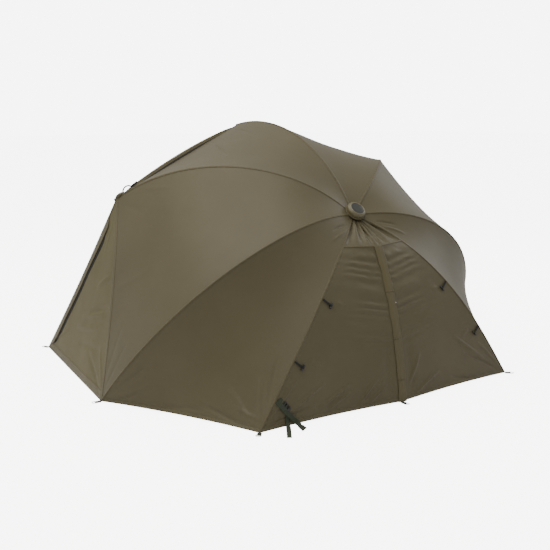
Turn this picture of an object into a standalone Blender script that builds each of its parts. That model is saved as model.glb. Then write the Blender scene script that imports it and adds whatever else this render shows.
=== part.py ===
"""Oval fishing umbrella pitched on its rear ribs: tilted hub, seven ribs with stretchers, cloth gores.

The front faces -Y and the ground is z = 0. Everything hangs on the hub: its axis leans back by
HUB_TILT, the pole runs down that axis to the ground, and each rib lies in its own plane through it.
"""

import math

import bmesh
import bpy
import numpy as np
from mathutils import Matrix, Vector

# Clearances
CLEARANCE = 0.0003
SLIDING_CLEARANCE = 0.0005
CUT_OVERRUN = 0.002

# Hub and its place over the footprint
HUB_HEIGHT = 0.960
HUB_BEHIND_CENTRE = 0.668
HUB_TILT = 42.7

# Ribs: length of the two kinds whose tips stand in the air, the others end on the ground
FRONT_RIB_LENGTH = 1.305
SHOULDER_RIB_LENGTH = 1.510
RIB_RADIUS = 0.0045
FERRULE_RADIUS = 0.0048
FERRULE_LENGTH = 0.035
TIP_OVERHANG = 0.022
RIB_STEPS = 20
# place: degrees round the hub from the front, then the slope below the hub plane in degrees
# at the start, middle and end of the rib
RIB_ANGLES = {
    "front": (0.0, -15.0, 19.8, 52.4),
    "shoulder": (49.7, -20.8, 29.5, 65.5),
    "side": (101.5, -21.1, 42.5, 81.5),
    "rear": (136.2, -11.5, 23.4, 34.9),
}
# distance of a rib's tip from the pole's axis once it is folded
CLOSED_FRONT = 0.05
CLOSED_SHOULDER = 0.12
CLOSED_SIDE = 0.12
CLOSED_REAR = 0.26

# Crown that holds the rib ends
HINGE_RADIUS = 0.030
HINGE_DROP = 0.005
CROWN_RADIUS = 0.042
CROWN_TOP = 0.004
CROWN_BOTTOM = 0.020
CROWN_SOCKET_DEPTH = 0.055
CROWN_SOCKET_RADIUS = 0.0175
RIB_END_WIDTH = 0.0096
CROSS_PIN_RADIUS = 0.0025
CROSS_PIN_LENGTH = 0.015

# Cap over the crown
CAP_RADIUS = 0.055
CAP_TOP = 0.055
CAP_RIM = 0.021
CAP_WALL = 0.003
CAP_BOSS_RADIUS = 0.012
CAP_DISC_RADIUS = 0.038
CAP_DISC_RISE = 0.0015

# Pole
POLE_RADIUS = 0.0125
POLE_WALL = 0.0015
UPPER_POLE_END = 0.850
LOWER_POLE_RADIUS = 0.0107
LOWER_POLE_TOP = 0.640
SPIKE_LENGTH = 0.110
SPIKE_POINT_RADIUS = 0.003

# Clamp at the lower end of the upper pole
COLLAR_RADIUS = 0.0185
COLLAR_GRIP = 0.024
COLLAR_NECK = 0.026
CLAMP_BOSS_RADIUS = 0.008
CLAMP_BOSS_REACH = 0.027
SCREW_RADIUS = 0.003
KNOB_RADIUS = 0.016
KNOB_THICKNESS = 0.012
KNOB_LOBES = 5

# Runner and its catch
RUNNER_DEPTH = 0.270
RUNNER_EYE_RADIUS = 0.034
RUNNER_FLANGE_RADIUS = 0.044
RUNNER_FLANGE_HALF = 0.007
RUNNER_SLEEVE_RADIUS = 0.0195
RUNNER_SLEEVE_LENGTH = 0.062
RUNNER_LIP = 0.0035
RUNNER_SLOT_FLOOR = 0.0235
CATCH_WIDTH = 0.010
CATCH_THICKNESS = 0.003
CATCH_LENGTH = 0.040
CATCH_STANDOFF = 0.0065
CATCH_PIN_RADIUS = 0.0015
CATCH_EAR = 0.002

# Stretchers and their brackets
STRETCHER_RADIUS = 0.0035
FRONT_BRACKET_DISTANCE = 0.340
BRACKET_DROP = 0.0125
BRACKET_WIDTH = 0.014
TONGUE_THICKNESS = 0.0034
TONGUE_LENGTH = 0.026
TONGUE_EYE_RADIUS = 0.005
PLATE_THICKNESS = 0.002
RIVET_RADIUS = 0.002

# Cloth
CLOTH = 0.0012
HEM_HEIGHT = 0.003
STORM_SEAM_GAP = 0.0018
CANOPY_HOLE = 0.030
GORE_COLUMNS = 6
GORE_SAG = 0.016
SEAM_SLOPE = 8.0
SIDE_EDGE_CURVE_SHARE = 0.020
GROUND_HEM_CURVE_SHARE = 0.008

# Rear panel
REAR_COLUMNS = 12
REAR_MIDDLE_GAP = 0.0012
CROSS_SEAM_SHARE = 0.20
CROSS_SEAM_BACK = 0.203
CROSS_SEAM_HEIGHT = 0.812
REAR_PEG_BACK = 0.420
REAR_HEM_HEIGHT = 0.006
ZIP_BOW = 0.040
COLLAR_PLEATS = 3
COLLAR_PLEAT_DEPTH = 0.010
PUCKERS = 4
PUCKER_DEPTH = 0.009
PUCKER_START_SHARE = 0.28
PUCKER_END_SHARE = 0.80

# Storm sides in front of the side gores
STORM_CORNER_OUT = 1.079
STORM_CORNER_FORWARD = 1.774
STORM_TOP_SHARE = 0.03
STORM_ROWS = 12
STORM_COLUMNS = 6
STORM_EDGE_CURVE = 0.022

# Peak along the front edge
PEAK_WIDTH = 0.034
PEAK_RISE = 50.0
PEAK_STEPS = 14
PEAK_END_SHARE = 0.06

# Pockets on the rib tips that stand in the air
POCKET_RADIUS = 0.009
POCKET_WALL = 0.004
POCKET_GAP = 0.003

# Zip on the rear panel
ZIP_TAPE_WIDTH = 0.030
ZIP_TAPE_THICKNESS = 0.0016
ZIP_STANDOFF = 0.0020
ZIP_ROWS = 16
FLAP_WIDTH = 0.050
FLAP_STANDOFF = 0.0100
FLAP_THICKNESS = 0.0016
SLIDER_LENGTH = 0.016
SLIDER_WIDTH = 0.011
SLIDER_THICKNESS = 0.005
PULL_LENGTH = 0.030
SLIDER_HEIGHT = 0.520

# Peg tabs and rings
TAB_WIDTH = 0.022
TAB_LENGTH = 0.030
TAB_THICKNESS = 0.0052
RING_WIRE_RADIUS = 0.0014
RING_HALF_WIDTH = 0.0135
RING_DEPTH = 0.006
RING_ARC_STEPS = 7
TAB_REAR_GAP = 0.018

# Toggles on the rear seams: a webbing loop with a bar across its end
TOGGLE_START = 0.012
TOGGLE_REACH = 0.052
TOGGLE_LOOP_WIDTH = 0.009
TOGGLE_LOOP_THICKNESS = 0.0030
TOGGLE_BAR_LENGTH = 0.034
TOGGLE_RADIUS = 0.0048
TOGGLE_SHARES = {"upper": 0.463, "lower": 0.724}
TOGGLE_STANDOFF = 0.0051

# Strap and buckle on the left rear rib
STRAP_WIDTH = 0.022
STRAP_THICKNESS = 0.0016
STRAP_STANDOFF = 0.0042
STRAP_RUN_SHARE = 32 / 69
STRAP_END_OUT = 0.640
STRAP_TAIL = 0.050
STRAP_LOWEST = 0.004
BUCKLE_LENGTH = 0.030
BUCKLE_WALL = 0.003

COLLECTION_NAME = "fishing_umbrella"
CUTTER_COLLECTION_NAME = "cutters"

OLIVE = (0.155, 0.140, 0.093, 1.0)
DARK_OLIVE = (0.100, 0.090, 0.055, 1.0)
BLACK = (0.020, 0.021, 0.020, 1.0)
GREEN_WEBBING = (0.045, 0.055, 0.040, 1.0)
STEEL = (0.62, 0.62, 0.60, 1.0)
GREY_STEEL = (0.18, 0.19, 0.19, 1.0)

AXIS = Vector((0.0, math.sin(math.radians(HUB_TILT)), math.cos(math.radians(HUB_TILT))))
FORWARD = Vector((0.0, -math.cos(math.radians(HUB_TILT)), math.sin(math.radians(HUB_TILT))))
ACROSS = Vector((1.0, 0.0, 0.0))
HUB = Vector((0.0, HUB_BEHIND_CENTRE, HUB_HEIGHT))


def clear_scene():
    for obj in list(bpy.data.objects):
        bpy.data.objects.remove(obj, do_unlink=True)


def make_collection(name):
    found = bpy.data.collections.new(name)
    bpy.context.scene.collection.children.link(found)
    return found


clear_scene()
PARTS = make_collection(COLLECTION_NAME)
CUTTERS = make_collection(CUTTER_COLLECTION_NAME)


def make_material(name, color, roughness, metallic=0.0):
    material = bpy.data.materials.new(name)
    material.use_nodes = True
    shader = material.node_tree.nodes["Principled BSDF"]
    shader.inputs["Base Color"].default_value = color
    shader.inputs["Roughness"].default_value = roughness
    shader.inputs["Metallic"].default_value = metallic
    material.diffuse_color = color
    return material


CANOPY_CLOTH = make_material("canopy_cloth", OLIVE, 0.75)
TRIM_CLOTH = make_material("trim_cloth", DARK_OLIVE, 0.80)
WEBBING = make_material("webbing", GREEN_WEBBING, 0.85)
BLACK_PLASTIC = make_material("black_plastic", BLACK, 0.45)
POLE_METAL = make_material("pole_metal", GREY_STEEL, 0.40, 0.9)
RIB_FINISH = make_material("rib_finish", BLACK, 0.35)
BRIGHT_STEEL = make_material("bright_steel", STEEL, 0.25, 1.0)


def frame_matrix(x, y, z, origin):
    rows = [(x[k], y[k], z[k], origin[k]) for k in range(3)]
    rows.append((0.0, 0.0, 0.0, 1.0))
    return Matrix(rows)


HUB_FRAME = frame_matrix(ACROSS, -FORWARD, AXIS, HUB)


def put(name, mesh, material, matrix, collection=None):
    obj = bpy.data.objects.new(name, mesh)
    (collection or PARTS).objects.link(obj)
    if material:
        mesh.materials.clear()
        mesh.materials.append(material)
    obj.matrix_world = matrix
    return obj


def as_tool(obj):
    """Marks an object as one that only shapes another."""
    obj.hide_render = True
    obj.display_type = "WIRE"
    return obj


def mesh_from(bm, name, smooth_angle=35.0):
    mesh = bpy.data.meshes.new(name)
    bmesh.ops.recalc_face_normals(bm, faces=bm.faces)
    bm.to_mesh(mesh)
    bm.free()
    mesh.shade_smooth()
    mesh.set_sharp_from_angle(angle=math.radians(smooth_angle))
    return mesh


def box_mesh(name, low, high):
    bm = bmesh.new()
    bmesh.ops.create_cube(bm, size=1.0)
    for v in bm.verts:
        share = v.co + Vector((0.5, 0.5, 0.5))
        v.co = Vector([low[k] + share[k] * (high[k] - low[k]) for k in range(3)])
    return mesh_from(bm, name)


def cylinder_mesh(name, radius, length, sides=16):
    """A cylinder along Z, centred."""
    bm = bmesh.new()
    bmesh.ops.create_cone(
        bm, cap_ends=True, segments=sides, radius1=radius, radius2=radius, depth=length
    )
    return mesh_from(bm, name)


def turned_mesh(name, outline, sides=24):
    """Turns (radius, height) points round Z, from the top of the outer side downwards."""
    mesh = bpy.data.meshes.new(name + "_outline")
    points = [(r, 0.0, z) for r, z in outline]
    closed = outline[0][0] > 0.0 and outline[-1][0] > 0.0
    count = len(points)
    edges = [(k, k + 1) for k in range(count - 1)]
    if closed:
        edges.append((count - 1, 0))
    mesh.from_pydata(points, edges, [])
    profile = bpy.data.objects.new(name + "_profile", mesh)
    CUTTERS.objects.link(profile)
    screw = profile.modifiers.new("turn", "SCREW")
    screw.axis = "Z"
    screw.steps = sides
    screw.render_steps = sides
    screw.use_merge_vertices = True
    screw.merge_threshold = 0.00001
    return baked(profile, name)


def baked(obj, name):
    """The evaluated mesh of an object, which is then removed."""
    graph = bpy.context.evaluated_depsgraph_get()
    mesh = bpy.data.meshes.new_from_object(obj.evaluated_get(graph))
    mesh.name = name
    bm = bmesh.new()
    bm.from_mesh(mesh)
    bmesh.ops.remove_doubles(bm, verts=bm.verts, dist=0.00001)
    bmesh.ops.recalc_face_normals(bm, faces=bm.faces)
    bm.to_mesh(mesh)
    bm.free()
    mesh.shade_smooth()
    mesh.set_sharp_from_angle(angle=math.radians(35.0))
    bpy.data.objects.remove(obj, do_unlink=True)
    return mesh


def tube_mesh(name, points, radius, resolution=2, closed=False):
    curve = bpy.data.curves.new(name, "CURVE")
    curve.dimensions = "3D"
    curve.bevel_depth = radius
    curve.bevel_resolution = resolution
    curve.use_fill_caps = not closed
    spline = curve.splines.new("POLY")
    spline.points.add(len(points) - 1)
    for target, point in zip(spline.points, points):
        target.co = (*point, 1.0)
    spline.use_cyclic_u = closed
    obj = bpy.data.objects.new(name, curve)
    CUTTERS.objects.link(obj)
    return baked(obj, name)


def flat_mesh(name, outline, thickness, hole=None):
    """A flat outline in XY, centred on its thickness along Z, with an optional hole outline."""
    curve = bpy.data.curves.new(name, "CURVE")
    curve.dimensions = "2D"
    curve.fill_mode = "BOTH"
    curve.extrude = thickness / 2
    for ring in [outline] + ([hole] if hole else []):
        spline = curve.splines.new("POLY")
        spline.points.add(len(ring) - 1)
        for target, point in zip(spline.points, ring):
            target.co = (point[0], point[1], 0.0, 1.0)
        spline.use_cyclic_u = True
    obj = bpy.data.objects.new(name, curve)
    CUTTERS.objects.link(obj)
    return baked(obj, name)


def arc(centre, radius, start, end, steps):
    turn = [math.radians(start + (end - start) * k / steps) for k in range(steps + 1)]
    return [(centre[0] + radius * math.cos(a), centre[1] + radius * math.sin(a)) for a in turn]


def circle(centre, radius, sides=12):
    return arc(centre, radius, 0.0, 360.0, sides)[:-1]


def boolean(target, mesh, matrix, operation):
    """Joins or cuts target by a mesh that stands at matrix."""
    tool = as_tool(put(target.name + "_tool", mesh, None, matrix, CUTTERS))
    modifier = target.modifiers.new(operation.lower(), "BOOLEAN")
    modifier.object = tool
    modifier.operation = operation
    modifier.solver = "EXACT"


def join(target, mesh, matrix):
    boolean(target, mesh, matrix, "UNION")


def cut(target, mesh, matrix):
    boolean(target, mesh, matrix, "DIFFERENCE")


class Rib:
    """One rib: its plane through the hub's axis, its seam curve and its folding geometry."""

    def __init__(self, place, side):
        self.place = place
        self.side = side
        self.name = place if side == 0 else f"{place}_{'left' if side > 0 else 'right'}"
        turn, start, middle, end = RIB_ANGLES[place]
        around = math.radians(turn) * (side or 1)
        self.out = FORWARD * math.cos(around) + ACROSS * math.sin(around)
        self.hinge_axis = AXIS.cross(self.out)
        self.matrix = frame_matrix(self.out, self.hinge_axis, AXIS, HUB)
        self.start = start
        self.bend = 2 * (start + end - 2 * middle)
        self.turning = end - start - self.bend
        self.trace()
        self.drop = (CLOTH + FERRULE_RADIUS + CLEARANCE) / math.cos(self.ridge_slope())

    def slope(self, share):
        """Slope below the hub plane, in radians, at a share of the length."""
        return np.radians(self.start + self.turning * share + self.bend * share * share)

    def trace(self):
        """The curve for a length of one, and then the length that the rib has."""
        self.shares = np.linspace(0.0, 1.0, 401)
        slope = self.slope(self.shares)
        out, down = np.cos(slope), np.sin(slope)
        step = self.shares[1]
        self.unit_out = np.concatenate([[0.0], np.cumsum((out[1:] + out[:-1]) / 2 * step)])
        self.unit_down = np.concatenate([[0.0], np.cumsum((down[1:] + down[:-1]) / 2 * step)])
        lengths = {"front": FRONT_RIB_LENGTH, "shoulder": SHOULDER_RIB_LENGTH}
        fall = self.unit_down[-1] * AXIS.z - self.unit_out[-1] * self.out.z
        self.grounded = self.place not in lengths
        self.length = lengths.get(self.place, (HUB_HEIGHT - HEM_HEIGHT) / fall)

    def ridge_slope(self):
        """How steeply the cloth falls away beside the seam, from the widest gore beside it."""
        turns = [RIB_ANGLES[place][0] for place in ("front", "shoulder", "side", "rear")]
        turns.append(360.0 - turns[-1])
        at = turns.index(RIB_ANGLES[self.place][0])
        beside = [turns[at + 1] - turns[at]] + ([turns[at] - turns[at - 1]] if at else [])
        return math.radians(max(beside) / 2 + SEAM_SLOPE)

    def off_seam(self, share, way):
        """The step along the cloth, away from the seam, that keeps its inner edge off its neighbour's."""
        slope = self.slope(share)
        along = self.out * math.cos(slope) - AXIS * math.sin(slope)
        normal = along.cross(way).normalized()
        if normal.dot(self.out * math.sin(slope) + AXIS * math.cos(slope)) < 0.0:
            normal = -normal
        aside = self.hinge_axis * math.copysign(1.0, way.dot(self.hinge_axis))
        lean = max(0.0, normal.dot(aside) + math.sin(math.radians(SEAM_SLOPE)))
        return way * ((CLOTH * lean + CLEARANCE / 2) / way.dot(aside))

    def plane_point(self, share, drop=0.0):
        """(out, up) in the rib's plane, drop below the seam."""
        out = np.interp(share, self.shares, self.unit_out) * self.length
        up = -np.interp(share, self.shares, self.unit_down) * self.length
        slope = self.slope(share)
        return out - drop * math.sin(slope), up - drop * math.cos(slope)

    def world(self, plane_point, aside=0.0):
        out, up = plane_point
        return HUB + self.out * out + AXIS * up + self.hinge_axis * aside

    def seam(self, share):
        return self.world(self.plane_point(share))

    def steps(self):
        """The shares at which the rib and the cloth on it have their points."""
        first = CANOPY_HOLE / self.length
        return [first + (1.0 - first) * k / RIB_STEPS for k in range(RIB_STEPS + 1)]

    def hinge(self):
        return HINGE_RADIUS, -HINGE_DROP

    def centre_line(self):
        """Points of the rib's middle in its plane, from the hinge to the tip or the ground."""
        points = [self.hinge()] + [self.plane_point(s, self.drop) for s in self.steps()[1:]]
        before, last = points[-2], points[-1]
        run = (last[0] - before[0], last[1] - before[1])
        if self.grounded:
            z0, z1 = self.world(before).z, self.world(last).z
            along = (FERRULE_RADIUS - z0) / (z1 - z0)
        else:
            along = 1.0 + TIP_OVERHANG / math.hypot(*run)
        points[-1] = (before[0] + run[0] * along, before[1] + run[1] * along)
        return points

    def on_line(self, distance):
        """The point and slope of the middle line at a distance along it."""
        points = self.centre_line()
        for a, b in zip(points, points[1:]):
            run = math.dist(a, b)
            if distance <= run:
                break
            distance -= run
        share = distance / run
        point = (a[0] + (b[0] - a[0]) * share, a[1] + (b[1] - a[1]) * share)
        return point, math.atan2(a[1] - b[1], b[0] - a[0])

    def bracket(self, distance):
        """The stretcher's pivot, under the rib."""
        (out, up), slope = self.on_line(distance)
        return (
            out - BRACKET_DROP * math.sin(slope),
            up - BRACKET_DROP * math.cos(slope),
        )

    def folded(self, point, angle):
        """A point of the rib's plane once the rib has folded down by an angle."""
        out, up = point[0] - HINGE_RADIUS, point[1] + HINGE_DROP
        c, s = math.cos(angle), math.sin(angle)
        return HINGE_RADIUS + out * c + up * s, -HINGE_DROP - out * s + up * c

    def fold_angle(self):
        """How far the rib folds, until its tip is at its closed distance from the axis."""
        closed = {
            "front": CLOSED_FRONT,
            "shoulder": CLOSED_SHOULDER,
            "side": CLOSED_SIDE,
            "rear": CLOSED_REAR,
        }[self.place]
        tip = self.centre_line()[-1]
        out, up = tip[0] - HINGE_RADIUS, tip[1] + HINGE_DROP
        reach = math.hypot(out, up)
        return math.acos((closed - HINGE_RADIUS) / reach) - math.atan2(-up, out)


RIBS = [Rib("front", 0)]
RIBS += [Rib(place, side) for side in (1, -1) for place in ("shoulder", "side", "rear")]
RIB = {rib.name: rib for rib in RIBS}

RUNNER_OPEN = (RUNNER_EYE_RADIUS, -RUNNER_DEPTH)


def runner_closed():
    """Where the front stretcher's inner end is once the umbrella is folded."""
    front = RIB["front"]
    pivot = front.bracket(FRONT_BRACKET_DISTANCE)
    length = math.dist(pivot, RUNNER_OPEN)
    out, up = front.folded(pivot, front.fold_angle())
    return RUNNER_EYE_RADIUS, up - math.sqrt(length**2 - (out - RUNNER_EYE_RADIUS) ** 2)


RUNNER_CLOSED = runner_closed()
RUNNER_TRAVEL = RUNNER_OPEN[1] - RUNNER_CLOSED[1]


def bracket_distance(rib):
    """The bracket's place on a rib that lets its stretcher reach the runner, open and folded."""
    if rib.place == "front":
        return FRONT_BRACKET_DISTANCE
    low, high = FRONT_BRACKET_DISTANCE / 2, 2 * FRONT_BRACKET_DISTANCE

    def misfit(distance):
        pivot = rib.bracket(distance)
        closed = rib.folded(pivot, rib.fold_angle())
        return math.dist(closed, RUNNER_CLOSED) - math.dist(pivot, RUNNER_OPEN)

    rising = misfit(high) > misfit(low)
    for _ in range(60):
        middle = (low + high) / 2
        if (misfit(middle) > 0.0) == rising:
            high = middle
        else:
            low = middle
    return (low + high) / 2


def stretcher_turn(rib):
    """How far the stretcher turns on its rib, in radians, from open to folded."""
    pivot = rib.bracket(bracket_distance(rib))
    closed = rib.folded(pivot, rib.fold_angle())

    def below(a, b):
        return math.atan2(a[1] - b[1], b[0] - a[0])

    return below(closed, RUNNER_CLOSED) - below(pivot, RUNNER_OPEN) - rib.fold_angle()


def slope_matrix(rib, point, slope):
    """A frame at a point of the rib's plane, X along a slope below the hub plane, Y the hinge axis."""
    along = rib.out * math.cos(slope) - AXIS * math.sin(slope)
    return frame_matrix(along, rib.hinge_axis, along.cross(rib.hinge_axis), rib.world(point))


def across_matrix(matrix):
    """Turns a piece made along Z so that it lies along the frame's Y."""
    return matrix @ Matrix.Rotation(math.radians(90.0), 4, "X")


def make_rib(rib):
    line = rib.centre_line()
    mesh = tube_mesh(f"rib_{rib.name}", [(x, 0.0, z) for x, z in line], RIB_RADIUS)
    obj = put(f"rib_{rib.name}", mesh, RIB_FINISH, rib.matrix)
    hinge = slope_matrix(rib, rib.hinge(), 0.0)
    barrel = cylinder_mesh("barrel", RIB_RADIUS + CLEARANCE, RIB_END_WIDTH, 16)
    join(obj, barrel, across_matrix(hinge))
    pin = cylinder_mesh("cross_pin", CROSS_PIN_RADIUS, CROSS_PIN_LENGTH, 12)
    join(obj, pin, across_matrix(hinge))

    distance = bracket_distance(rib)
    _, slope = rib.on_line(distance)
    at = slope_matrix(rib, rib.bracket(distance), slope)
    inner = TONGUE_THICKNESS / 2 + CLEARANCE
    outer = inner + PLATE_THICKNESS
    half = BRACKET_WIDTH / 2
    for side in (1, -1):
        low = (-half, min(side * inner, side * outer), -half)
        high = (half, max(side * inner, side * outer), BRACKET_DROP)
        join(obj, box_mesh("bracket_plate", low, high), at)
    rivet = cylinder_mesh("rivet", RIVET_RADIUS, 2 * outer - PLATE_THICKNESS, 12)
    join(obj, rivet, across_matrix(at))
    if rib.grounded:
        before, last = line[-2], line[-1]
        end_slope = math.atan2(before[1] - last[1], last[0] - before[0])
        ball = [(r, z) for r, z in arc((0.0, 0.0), FERRULE_RADIUS, 0.0, -90.0, 4)]
        outline = [(0.0, FERRULE_LENGTH), (FERRULE_RADIUS, FERRULE_LENGTH)] + ball[:-1]
        outline.append((0.0, -FERRULE_RADIUS))
        end = slope_matrix(rib, last, end_slope)
        turn = Matrix.Rotation(math.radians(-90.0), 4, "Y")
        join(obj, turned_mesh("ferrule", outline, 12), end @ turn)
    return obj


def make_stretcher(rib):
    pivot = rib.bracket(bracket_distance(rib))
    length = math.dist(pivot, RUNNER_OPEN)
    slope = math.atan2(pivot[1] - RUNNER_OPEN[1], RUNNER_OPEN[0] - pivot[0])
    frame = slope_matrix(rib, pivot, slope)
    start = TONGUE_LENGTH - TONGUE_EYE_RADIUS
    rod = tube_mesh(
        f"stretcher_{rib.name}",
        [(start, 0.0, 0.0), (length - start, 0.0, 0.0)],
        STRETCHER_RADIUS,
    )
    obj = put(f"stretcher_{rib.name}", rod, POLE_METAL, frame)
    # a tongue's outline is drawn in its own XY and then stood up along the stretcher
    outline = arc((0.0, 0.0), TONGUE_EYE_RADIUS, 90.0, 270.0, 6)
    half = STRETCHER_RADIUS - CLEARANCE
    outline += [(TONGUE_LENGTH, -half), (TONGUE_LENGTH, half)]
    hole = circle((0.0, 0.0), RIVET_RADIUS + CLEARANCE)
    upright = Matrix.Rotation(math.radians(90.0), 4, "X")
    near = flat_mesh("tongue", outline, TONGUE_THICKNESS, hole)
    join(obj, near, frame @ upright)
    far = flat_mesh("tongue", outline, TONGUE_THICKNESS, hole)
    turned = Matrix.Translation((length, 0.0, 0.0)) @ Matrix.Rotation(math.radians(180.0), 4, "Y")
    join(obj, far, frame @ turned @ upright)
    return obj


def make_crown():
    inner = POLE_RADIUS + CLEARANCE
    roof = CROWN_BOTTOM + CLEARANCE
    outline = [
        (0.0, CROWN_TOP),
        (CROWN_RADIUS, CROWN_TOP),
        (CROWN_RADIUS, -CROWN_BOTTOM),
        (CROWN_SOCKET_RADIUS, -CROWN_BOTTOM),
        (CROWN_SOCKET_RADIUS, -CROWN_SOCKET_DEPTH),
        (inner, -CROWN_SOCKET_DEPTH),
        (inner, -roof),
        (0.0, -roof),
    ]
    obj = put("hub_crown", turned_mesh("hub_crown", outline, 36), BLACK_PLASTIC, HUB_FRAME)
    half_slot = RIB_END_WIDTH / 2 + SLIDING_CLEARANCE
    half_pin = CROSS_PIN_LENGTH / 2 + SLIDING_CLEARANCE
    pin_room = CROSS_PIN_RADIUS + CLEARANCE
    for rib in RIBS:
        slot = box_mesh(
            "rib_slot",
            (CROWN_SOCKET_RADIUS + CUT_OVERRUN, -half_slot, -CROWN_BOTTOM - CUT_OVERRUN),
            (CROWN_RADIUS + CUT_OVERRUN, half_slot, CROWN_TOP + CUT_OVERRUN),
        )
        cut(obj, slot, rib.matrix)
        groove = box_mesh(
            "pin_groove",
            (HINGE_RADIUS - pin_room, -half_pin, -HINGE_DROP - pin_room),
            (HINGE_RADIUS + pin_room, half_pin, CROWN_TOP + CUT_OVERRUN),
        )
        cut(obj, groove, rib.matrix)
    return obj


def make_cap():
    seat = CROWN_TOP + CLEARANCE
    dome = [(0.0, CAP_TOP + CAP_DISC_RISE), (CAP_DISC_RADIUS, CAP_TOP + CAP_DISC_RISE)]
    dome.append((CAP_DISC_RADIUS, CAP_TOP))
    corner = CAP_RADIUS - CAP_DISC_RADIUS
    dome += arc((CAP_DISC_RADIUS, CAP_TOP - corner), corner, 75.0, 0.0, 5)
    roof = CAP_TOP - CAP_WALL
    inside = corner - CAP_WALL
    outline = dome + [(CAP_RADIUS, CAP_RIM), (CAP_RADIUS - CAP_WALL, CAP_RIM)]
    outline += arc((CAP_DISC_RADIUS, CAP_TOP - corner), inside, 0.0, 75.0, 2)
    outline += [(CAP_BOSS_RADIUS, roof), (CAP_BOSS_RADIUS, seat), (0.0, seat)]
    return put("hub_cap", turned_mesh("hub_cap", outline, 24), CANOPY_CLOTH, HUB_FRAME)


def make_poles():
    top = CROWN_BOTTOM + 2 * CLEARANCE
    inner = POLE_RADIUS - POLE_WALL
    outline = [
        (POLE_RADIUS, -top),
        (POLE_RADIUS, -UPPER_POLE_END),
        (inner, -UPPER_POLE_END),
        (inner, -top),
    ]
    put("upper_pole", turned_mesh("upper_pole", outline, 24), POLE_METAL, HUB_FRAME)

    foot = HUB_HEIGHT / AXIS.z - SPIKE_POINT_RADIUS / AXIS.z
    bore = LOWER_POLE_RADIUS - POLE_WALL
    shoulder = foot - SPIKE_LENGTH
    point = arc((0.0, -foot), SPIKE_POINT_RADIUS, 0.0, -90.0, 4)
    outline = [
        (LOWER_POLE_RADIUS, -LOWER_POLE_TOP),
        (LOWER_POLE_RADIUS, -shoulder),
    ]
    outline += point[:-1] + [(0.0, -foot - SPIKE_POINT_RADIUS), (0.0, -shoulder)]
    outline += [(bore, -shoulder), (bore, -LOWER_POLE_TOP)]
    # the profile runs from the axis so that the spike stays solid and the tube open above it
    start = len(outline) - 3
    outline = outline[start:] + outline[:start]
    put("lower_pole", turned_mesh("lower_pole", outline, 24), POLE_METAL, HUB_FRAME)


def clamp_height():
    """How far below the hub the clamp screw stands."""
    return UPPER_POLE_END + COLLAR_NECK / 2


def make_clamp():
    grip = POLE_RADIUS + CLEARANCE
    neck = LOWER_POLE_RADIUS + CLEARANCE
    top = UPPER_POLE_END - COLLAR_GRIP
    bottom = UPPER_POLE_END + COLLAR_NECK
    ledge = UPPER_POLE_END + CLEARANCE
    chamfer = (COLLAR_RADIUS - grip) / 2
    outline = [
        (COLLAR_RADIUS - chamfer, -top),
        (COLLAR_RADIUS, -top - chamfer),
        (COLLAR_RADIUS, -bottom + chamfer),
        (COLLAR_RADIUS - chamfer, -bottom),
        (neck, -bottom),
        (neck, -ledge),
        (grip, -ledge),
        (grip, -top),
    ]
    collar = put("clamp_collar", turned_mesh("clamp_collar", outline, 24), BLACK_PLASTIC, HUB_FRAME)
    # the screw stands square to the pole, on its rear side
    at = HUB_FRAME @ Matrix.Translation((0.0, 0.0, -clamp_height()))
    radial = at @ Matrix.Rotation(math.radians(-90.0), 4, "X")
    reach = CLAMP_BOSS_REACH - neck - CUT_OVERRUN
    boss = cylinder_mesh("clamp_boss", CLAMP_BOSS_RADIUS, reach, 20)
    middle = Matrix.Translation((0.0, 0.0, CLAMP_BOSS_REACH - reach / 2))
    join(collar, boss, radial @ middle)
    bore_length = CLAMP_BOSS_REACH + 2 * CUT_OVERRUN
    bore = cylinder_mesh("clamp_bore", SCREW_RADIUS + CLEARANCE, bore_length, 16)
    cut(collar, bore, radial @ Matrix.Translation((0.0, 0.0, bore_length / 2)))

    face = CLAMP_BOSS_REACH + CLEARANCE
    tip = LOWER_POLE_RADIUS + CLEARANCE
    outline = [
        (0.0, face + KNOB_THICKNESS),
        (KNOB_RADIUS, face + KNOB_THICKNESS),
        (KNOB_RADIUS, face),
        (SCREW_RADIUS, face),
        (SCREW_RADIUS, tip),
        (0.0, tip),
    ]
    knob = put("clamp_knob", turned_mesh("clamp_knob", outline, 30), BLACK_PLASTIC, radial)
    bite = KNOB_RADIUS / 3
    notch_reach = KNOB_RADIUS + bite / 2
    for k in range(KNOB_LOBES):
        notch = cylinder_mesh("knob_notch", bite, KNOB_THICKNESS + 2 * CUT_OVERRUN, 12)
        turn = Matrix.Rotation(math.radians(360.0 * k / KNOB_LOBES), 4, "Z")
        place = Matrix.Translation((notch_reach, 0.0, face + KNOB_THICKNESS / 2))
        cut(knob, notch, radial @ turn @ place)


def catch_radius():
    return RUNNER_SLEEVE_RADIUS + CATCH_STANDOFF


def catch_height():
    """The catch's pivot, below the runner's middle."""
    return RUNNER_FLANGE_HALF + RUNNER_SLEEVE_LENGTH / 2


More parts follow.
